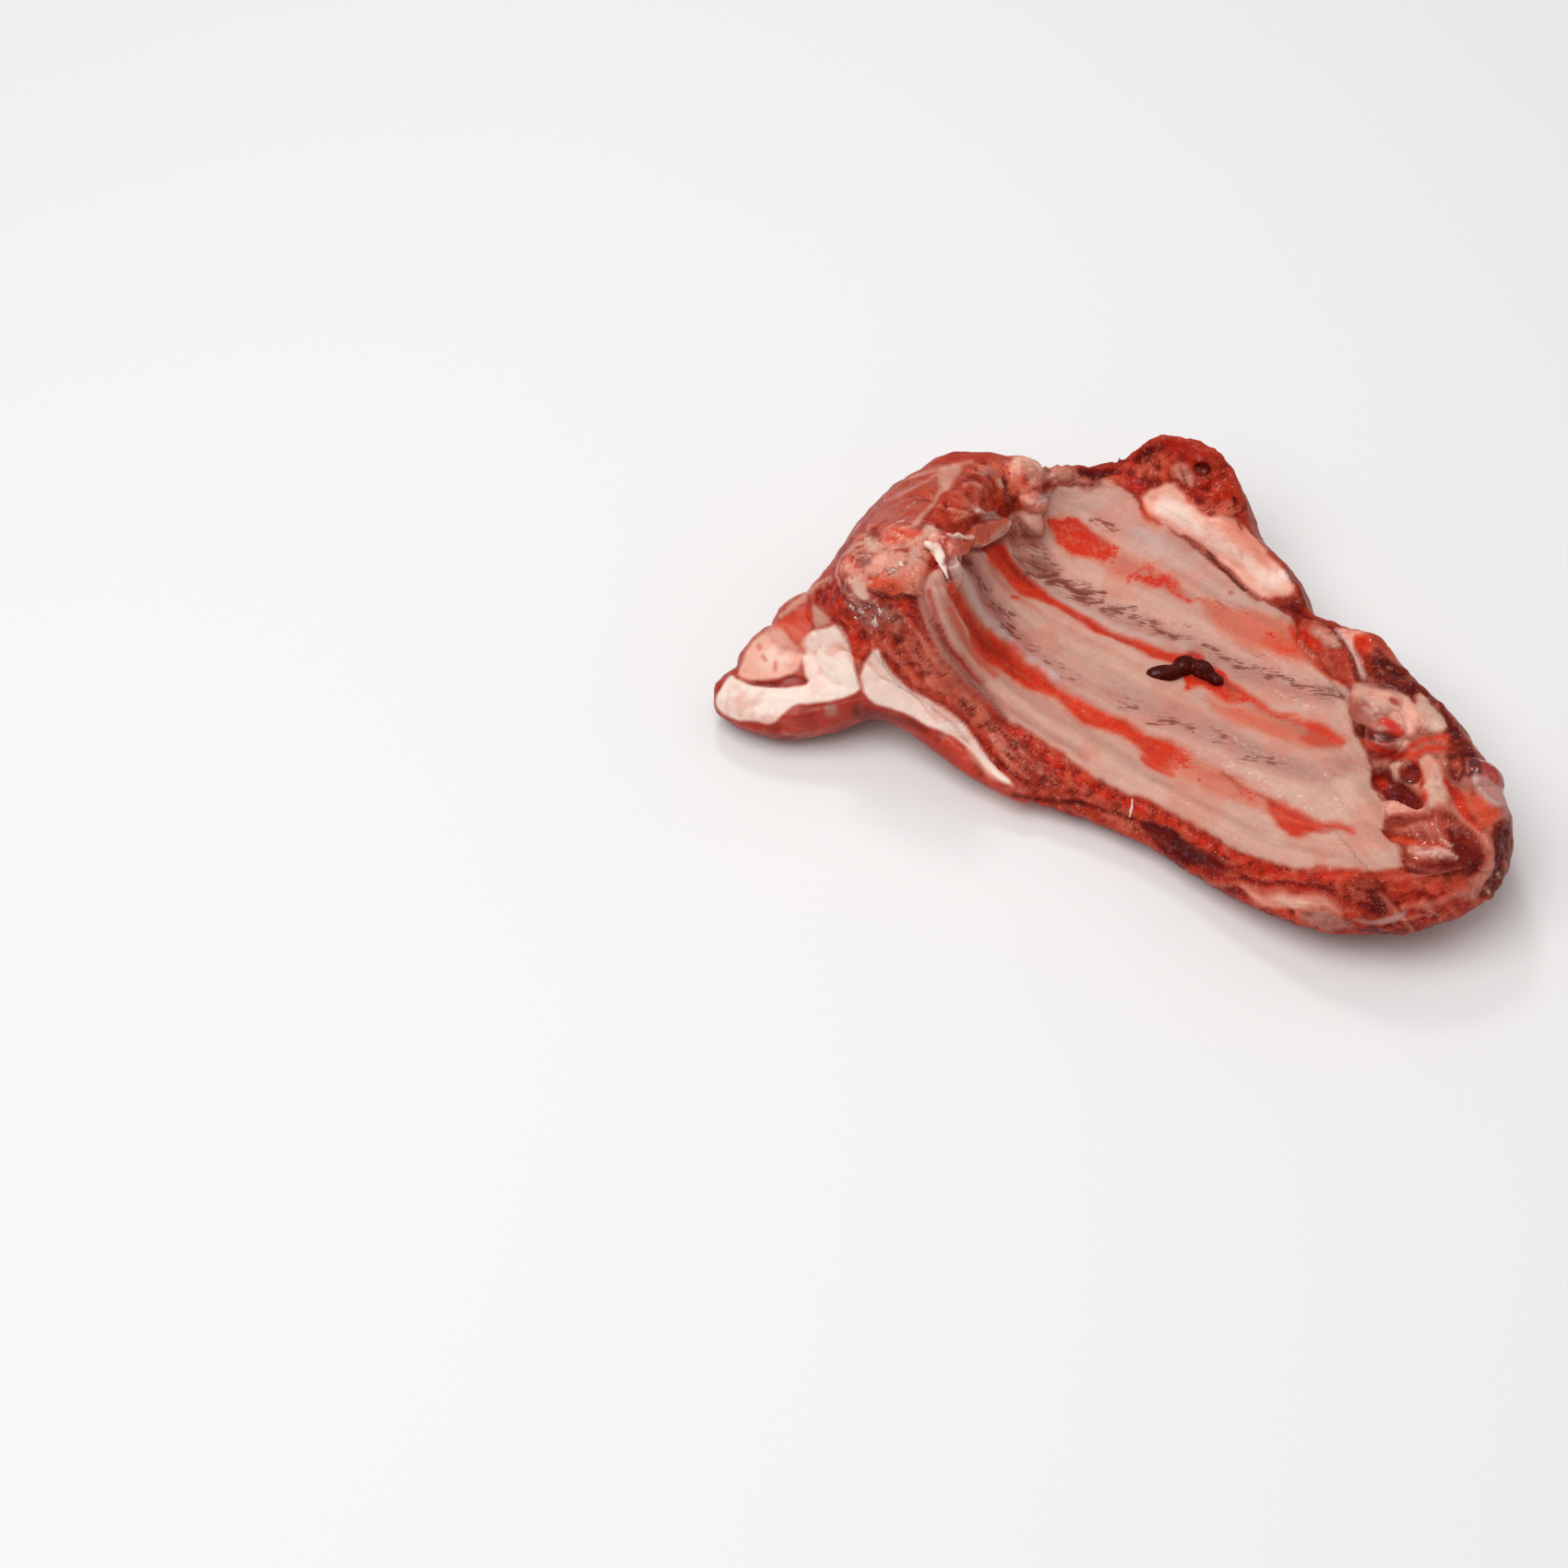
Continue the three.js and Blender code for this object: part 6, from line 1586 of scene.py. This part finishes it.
def clot_material():
    """Clotted blood: nearly black, with a red skin where it thins and a strong shine."""
    material, start = new_material("clotted_blood")
    place = start.node("ShaderNodeTexCoord", output=3)
    clouds = place.noise(480.0, 3.0)
    edge = start.node("ShaderNodeLayerWeight", None, {"Blend": 0.35}, output=1)
    colour = (clouds.step(0.4, 0.75) * 0.7).choose(linear_colour("clot"), linear_colour("meat_dark"))
    height = clouds * 0.8
    roughness = 0.5 + (clouds - 0.5) * 0.2
    coat = clouds.step(0.5, 0.62) * 0.5 + edge * 0.1
    gloss = {
        "bump": 0.5, "coat_roughness": 0.04, "depth_share": 0.1, "depth_colour": (1.0, 0.1, 0.05),
        "depth": 0.001, "specular": 0.08,
    }
    wet_surface("clotted_blood", colour, roughness, height, coat, gloss)
    return material


MATERIAL_MAKERS = {
    "meat": meat_material, "fat": fat_material, "bone": bone_material, "gristle": gristle_material,
    "blood": clot_material,
}


def material_for(slot):
    """The material of a slot, made when it is first asked for."""
    store = bpy.context.scene
    key = "rib_material_" + slot
    if key not in store:
        store[key] = MATERIAL_MAKERS[slot]().name
    return bpy.data.materials[store[key]]


def grown_triangles(node, margin):
    """A node's points moved out along their normals by the margin, and its triangles."""
    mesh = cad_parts[node].data
    mesh.calc_loop_triangles()
    points = np.array([vertex.co for vertex in mesh.vertices])
    triangles = np.array([triangle.vertices for triangle in mesh.loop_triangles])
    merged, back = np.unique(np.round(points, 7), axis=0, return_inverse=True)
    triangles = back.ravel()[triangles]
    corners = merged[triangles]
    face = np.cross(corners[:, 1] - corners[:, 0], corners[:, 2] - corners[:, 0])
    normals = np.zeros_like(merged)
    for axis in range(3):
        for corner in range(3):
            normals[:, axis] += np.bincount(triangles[:, corner], face[:, axis], len(merged))
    normals /= np.maximum(1e-12, np.linalg.norm(normals, axis=1))[:, None]
    return merged + normals * margin, triangles


def largest_shell(points, faces):
    """The points and faces of the biggest connected shell."""
    label = np.arange(len(points))
    while True:
        lowest = label[faces].min(axis=1)
        lower = label.copy()
        for corner in range(faces.shape[1]):
            np.minimum.at(lower, faces[:, corner], lowest)
        lower = lower[lower]
        if (lower == label).all():
            break
        label = lower
    biggest = np.bincount(label).argmax()
    kept = label == biggest
    number = np.cumsum(kept) - 1
    return points[kept], number[faces[kept[faces[:, 0]]]]


def remeshed(name, nodes, margins, grid):
    """One closed mesh of even quads round the named nodes."""
    points = []
    triangles = []
    start = 0
    for node, margin in zip(nodes, margins):
        some, around = grown_triangles(node, margin)
        points.append(some)
        triangles.append(around + start)
        start += len(some)
    rough = bpy.data.meshes.new(name + "_rough")
    rough.from_pydata(np.concatenate(points).tolist(), [], np.concatenate(triangles).tolist())
    rough.update()
    piece = bpy.data.objects.new(name, rough)
    bpy.context.scene.collection.objects.link(piece)
    remesh = piece.modifiers.new("even_quads", "REMESH")
    remesh.mode = "VOXEL"
    remesh.voxel_size = grid
    shaped = bpy.data.meshes.new_from_object(piece.evaluated_get(bpy.context.evaluated_depsgraph_get()))
    piece.modifiers.clear()
    flat = np.zeros(len(shaped.vertices) * 3)
    shaped.vertices.foreach_get("co", flat)
    corners = np.zeros(len(shaped.loops), int)
    shaped.loops.foreach_get("vertex_index", corners)
    kept, faces = largest_shell(flat.reshape(-1, 3), corners.reshape(-1, 4))
    mesh = bpy.data.meshes.new(name)
    mesh.from_pydata(kept.tolist(), [], faces.tolist())
    mesh.update()
    piece.data = mesh
    bpy.data.meshes.remove(rough)
    bpy.data.meshes.remove(shaped)
    return piece


def dress(name, nodes, margins, grid, rounds, slot, lift=1.0):
    piece = remeshed(name, nodes, margins, grid)
    skin = Skin(piece.data)
    skin.smooth(rounds)
    skin.find_normals()
    skin.place()
    paint_outer_side(skin)
    paint_strokes(skin)
    choose_way(skin)
    stain(skin)
    skin.push(relief(skin, bpy.context.scene.rib_sizes) * lift)
    skin.points = within_box(skin.points)
    # Painted shade in creases and painted light on ridges, from the skin's curvature.
    paint_crease_shade_and_ridge_light(skin)
    skin.tone = np.clip(skin.tone, 0, 1)
    skin.write(name, MASKS)
    piece.data.materials.append(material_for(slot))
    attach(piece, "root")
    return piece


class LAMBRIBS_OT_slab(bpy.types.Operator):
    """Make the slab's skin: lining, ribs, cut muscle and the outer side"""

    bl_idname = "lambribs.slab"
    bl_label = "Slab"

    def execute(self, context):
        sizes = context.scene.rib_sizes
        insets = [node for node in sorted(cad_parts) if node not in ("rib_slab", "blood_clot")]
        nodes = ["rib_slab"] + insets
        margins = [0.0] + [sizes.bridge] * len(insets)
        piece = dress("slab_meat", nodes, margins, sizes.slab_grid, 40, "meat")
        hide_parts("rib_slab")
        return {"FINISHED"}


class InsetOperator:
    """What the operators of the inset pieces share."""

    pieces = ()

    def execute(self, context):
        sizes = context.scene.rib_sizes
        for node, name, slot, proud in self.pieces:
            piece = dress(name, [node], [sizes.proud * proud], sizes.small_grid, 24, slot, lift=0.6)
            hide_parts(node)
        return {"FINISHED"}


class LAMBRIBS_OT_fat(InsetOperator, bpy.types.Operator):
    """Make the skins of the fat lobe and of the fat over the rib heads"""

    bl_idname = "lambribs.fat"
    bl_label = "Fat"
    pieces = (("fat_lobe", "lobe_fat", "fat", 1.0), ("rib_head_fat", "rib_top_fat", "fat", 0.35))


def on_skin(tree, pixel):
    """Where the sight line through a pixel meets the slab's skin, and the skin's normal there."""
    across, down = (np.array(pixel, float) - FRAME_PX / 2) / FOCAL_PX
    place, normal, _, _ = tree.ray_cast(Vector(EYE), Vector(SIGHT + RIGHT * across - UP * down))
    if place is None:
        raise RuntimeError("The sight line at %d, %d misses the slab" % tuple(pixel))
    return np.array(place), np.array(normal)


def thread_mesh(tree, knots):
    """A tapered, slightly crumpled tube along knots of pixel, radius and height over the skin."""
    hits = [on_skin(tree, pixel) for pixel, _, _ in knots]
    middle = np.array([place + normal * (high * MM) for (place, normal), (_, _, high) in zip(hits, knots)])
    at = np.linspace(0, len(knots) - 1, THREAD_RINGS)
    whole = np.arange(len(knots))
    centre = np.stack([np.interp(at, whole, middle[:, axis]) for axis in range(3)], 1)
    radius = np.interp(at, whole, [wide * MM for _, wide, _ in knots])
    run = np.gradient(centre, axis=0)
    run /= np.linalg.norm(run, axis=1)[:, None]
    side = np.cross(run, (0.0, 0.0, 1.0))
    side /= np.linalg.norm(side, axis=1)[:, None]
    rise = np.cross(side, run)
    turn = np.linspace(0, 2 * math.pi, THREAD_SIDES, endpoint=False)
    ring = np.cos(turn)[None, :, None] * side[:, None] + np.sin(turn)[None, :, None] * rise[:, None]
    points = (centre[:, None] + ring * radius[:, None, None]).reshape(-1, 3)
    points += (points - np.repeat(centre, THREAD_SIDES, axis=0)) * ripple(points / MM, 1.4, 91)[:, None] * 0.3
    faces = [tuple(range(THREAD_SIDES))[::-1]]
    for row in range(THREAD_RINGS - 1):
        for corner in range(THREAD_SIDES):
            after = (corner + 1) % THREAD_SIDES
            low, high = row * THREAD_SIDES, (row + 1) * THREAD_SIDES
            faces.append((low + corner, low + after, high + after, high + corner))
    faces.append(tuple(range(THREAD_SIDES * (THREAD_RINGS - 1), THREAD_SIDES * THREAD_RINGS)))
    return points, faces


class LAMBRIBS_OT_threads(bpy.types.Operator):
    """Make the loose threads of fat that stand on the slab's skin"""

    bl_idname = "lambribs.threads"
    bl_label = "Threads"

    def execute(self, context):
        slab = bpy.data.objects["slab_meat"].data
        tree = BVHTree.FromPolygons(
            [vertex.co for vertex in slab.vertices], [polygon.vertices for polygon in slab.polygons])
        points = []
        faces = []
        for knots in FAT_THREADS:
            some, around = thread_mesh(tree, knots)
            start = sum(len(others) for others in points)
            points.append(some)
            faces += [tuple(corner + start for corner in face) for face in around]
        points = within_box(np.concatenate(points))
        mesh = bpy.data.meshes.new("fat_threads")
        mesh.from_pydata(points.tolist(), [], faces)
        mesh.update()
        pale = np.tile(without_shine(colour_of("fat_and_glint_white")), (len(points), 1))
        pale += (without_shine(colour_of("fat_pink")) - pale) * ease(-0.6, 0.8, ripple(points / MM, 2.0, 94))[:, None]
        tone = mesh.attributes.new("tone", "FLOAT_COLOR", "POINT")
        tone.data.foreach_set("color", np.column_stack((pale, np.ones(len(pale)))).ravel())
        wet = mesh.attributes.new("wet", "FLOAT", "POINT")
        wet.data.foreach_set("value", np.full(len(pale), 0.8))
        mesh.polygons.foreach_set("use_smooth", np.ones(len(mesh.polygons), bool))
        mesh.materials.append(material_for("fat"))
        piece = bpy.data.objects.new("fat_threads", mesh)
        context.scene.collection.objects.link(piece)
        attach(piece, "root")
        return {"FINISHED"}


class LAMBRIBS_OT_bone(InsetOperator, bpy.types.Operator):
    """Make the skin of the sawn backbone"""

    bl_idname = "lambribs.bone"
    bl_label = "Bone"
    pieces = (("chine_bone", "backbone_cut", "bone", 1.0),)


class LAMBRIBS_OT_gristle(InsetOperator, bpy.types.Operator):
    """Make the skins of the gristle at the breast end"""

    bl_idname = "lambribs.gristle"
    bl_label = "Gristle"
    pieces = (
        ("breast_gristle", "breast_gristle_skin", "gristle", 1.0),
        ("breast_tip", "breast_tip_skin", "gristle", 1.0),
    )


class LAMBRIBS_OT_clot(InsetOperator, bpy.types.Operator):
    """Make the skin of the blood clot on the lining"""

    bl_idname = "lambribs.clot"
    bl_label = "Clot"
    pieces = (("blood_clot", "clot_skin", "blood", 0.6),)


def soft_light(name, place, side, power, colour=(1.0, 1.0, 1.0)):
    """A square area light that looks at the slab's middle."""
    data = bpy.data.lights.new(name, "AREA")
    data.shape = "SQUARE"
    data.size = side
    data.energy = power
    data.color = colour
    light = bpy.data.objects.new(name, data)
    light.location = place
    light.rotation_euler = (Vector((0, 0, 0)) - Vector(place)).to_track_quat("-Z", "Y").to_euler()
    bpy.context.scene.collection.objects.link(light)


class LAMBRIBS_OT_stage(bpy.types.Operator):
    """Make the pale floor, the soft light and the camera"""

    bl_idname = "lambribs.stage"
    bl_label = "Stage"

    def execute(self, context):
        scene = context.scene
        stage = scene.rib_stage
        half = stage.floor_side / 2
        mesh = bpy.data.meshes.new("floor")
        mesh.from_pydata([(-half, -half, 0), (half, -half, 0), (half, half, 0), (-half, half, 0)], [], [(0, 1, 2, 3)])
        floor = bpy.data.objects.new("floor", mesh)
        scene.collection.objects.link(floor)
        material, start = new_material("floor_paint")
        place = start.node("ShaderNodeTexCoord", output=3)
        tone = tuple(stage.floor_tone)
        pale = (*[value ** 2.2 for value in tone], 1.0)
        shader = material.node_tree.nodes["Principled BSDF"]
        colour = place.noise(3.0).choose(pale, (*[value * 0.985 for value in pale[:3]], 1.0))
        material.node_tree.links.new(colour.socket, shader.inputs["Base Color"])
        shader.inputs["Roughness"].default_value = 0.8
        mesh.materials.append(material)

        soft_light("key", (-0.35, -0.25, 0.95), 0.9, stage.key_power)
        soft_light("fill", (0.9, 0.35, 0.75), 0.9, stage.fill_power)
        soft_light("glint", (-0.15, 0.55, 0.75), 0.16, stage.glint_power)
        world = bpy.data.worlds.new("surround")
        world.use_nodes = True
        world.node_tree.nodes["Background"].inputs["Color"].default_value = (1, 1, 1, 1)
        world.node_tree.nodes["Background"].inputs["Strength"].default_value = stage.sky
        scene.world = world
        scene.view_settings.view_transform = "Standard"

        lens = bpy.data.cameras.new("camera")
        lens.lens = LENS_MM
        lens.sensor_width = SENSOR_MM
        camera = bpy.data.objects.new("camera", lens)
        camera.location = EYE
        camera.rotation_euler = (math.pi / 2 - ELEVATION, 0, 0)
        scene.collection.objects.link(camera)
        scene.camera = camera
        return {"FINISHED"}


PIECE_OPERATORS = (
    LAMBRIBS_OT_slab, LAMBRIBS_OT_fat, LAMBRIBS_OT_threads, LAMBRIBS_OT_bone, LAMBRIBS_OT_gristle,
    LAMBRIBS_OT_clot, LAMBRIBS_OT_stage,
)


class LAMBRIBS_PT_panel(bpy.types.Panel):
    """The sizes, the colours and a button for each piece"""

    bl_idname = "LAMBRIBS_PT_panel"
    bl_label = "Lamb Ribs"
    bl_space_type = "VIEW_3D"
    bl_region_type = "UI"
    bl_category = "Lamb Ribs"

    def draw(self, context):
        for group in (context.scene.rib_sizes, context.scene.rib_colours, context.scene.rib_stage):
            box = self.layout.box()
            for name in group.bl_rna.properties.keys():
                if name not in ("rna_type", "name"):
                    box.prop(group, name)
        for operator in PIECE_OPERATORS:
            self.layout.operator(operator.bl_idname)


CLASSES = (RibColours, RibSizes, RibStage) + PIECE_OPERATORS + (LAMBRIBS_PT_panel,)
GROUPS = {"rib_colours": RibColours, "rib_sizes": RibSizes, "rib_stage": RibStage}


def register():
    for item in CLASSES:
        bpy.utils.register_class(item)
    for name, group in GROUPS.items():
        setattr(bpy.types.Scene, name, bpy.props.PointerProperty(type=group))


def unregister():
    for name in GROUPS:
        delattr(bpy.types.Scene, name)
    for item in reversed(CLASSES):
        bpy.utils.unregister_class(item)


def main():
    register()
    bpy.ops.lambribs.slab()
    bpy.ops.lambribs.fat()
    bpy.ops.lambribs.threads()
    bpy.ops.lambribs.bone()
    bpy.ops.lambribs.gristle()
    bpy.ops.lambribs.clot()
    bpy.ops.lambribs.stage()


if __name__ == "__main__":
    main()
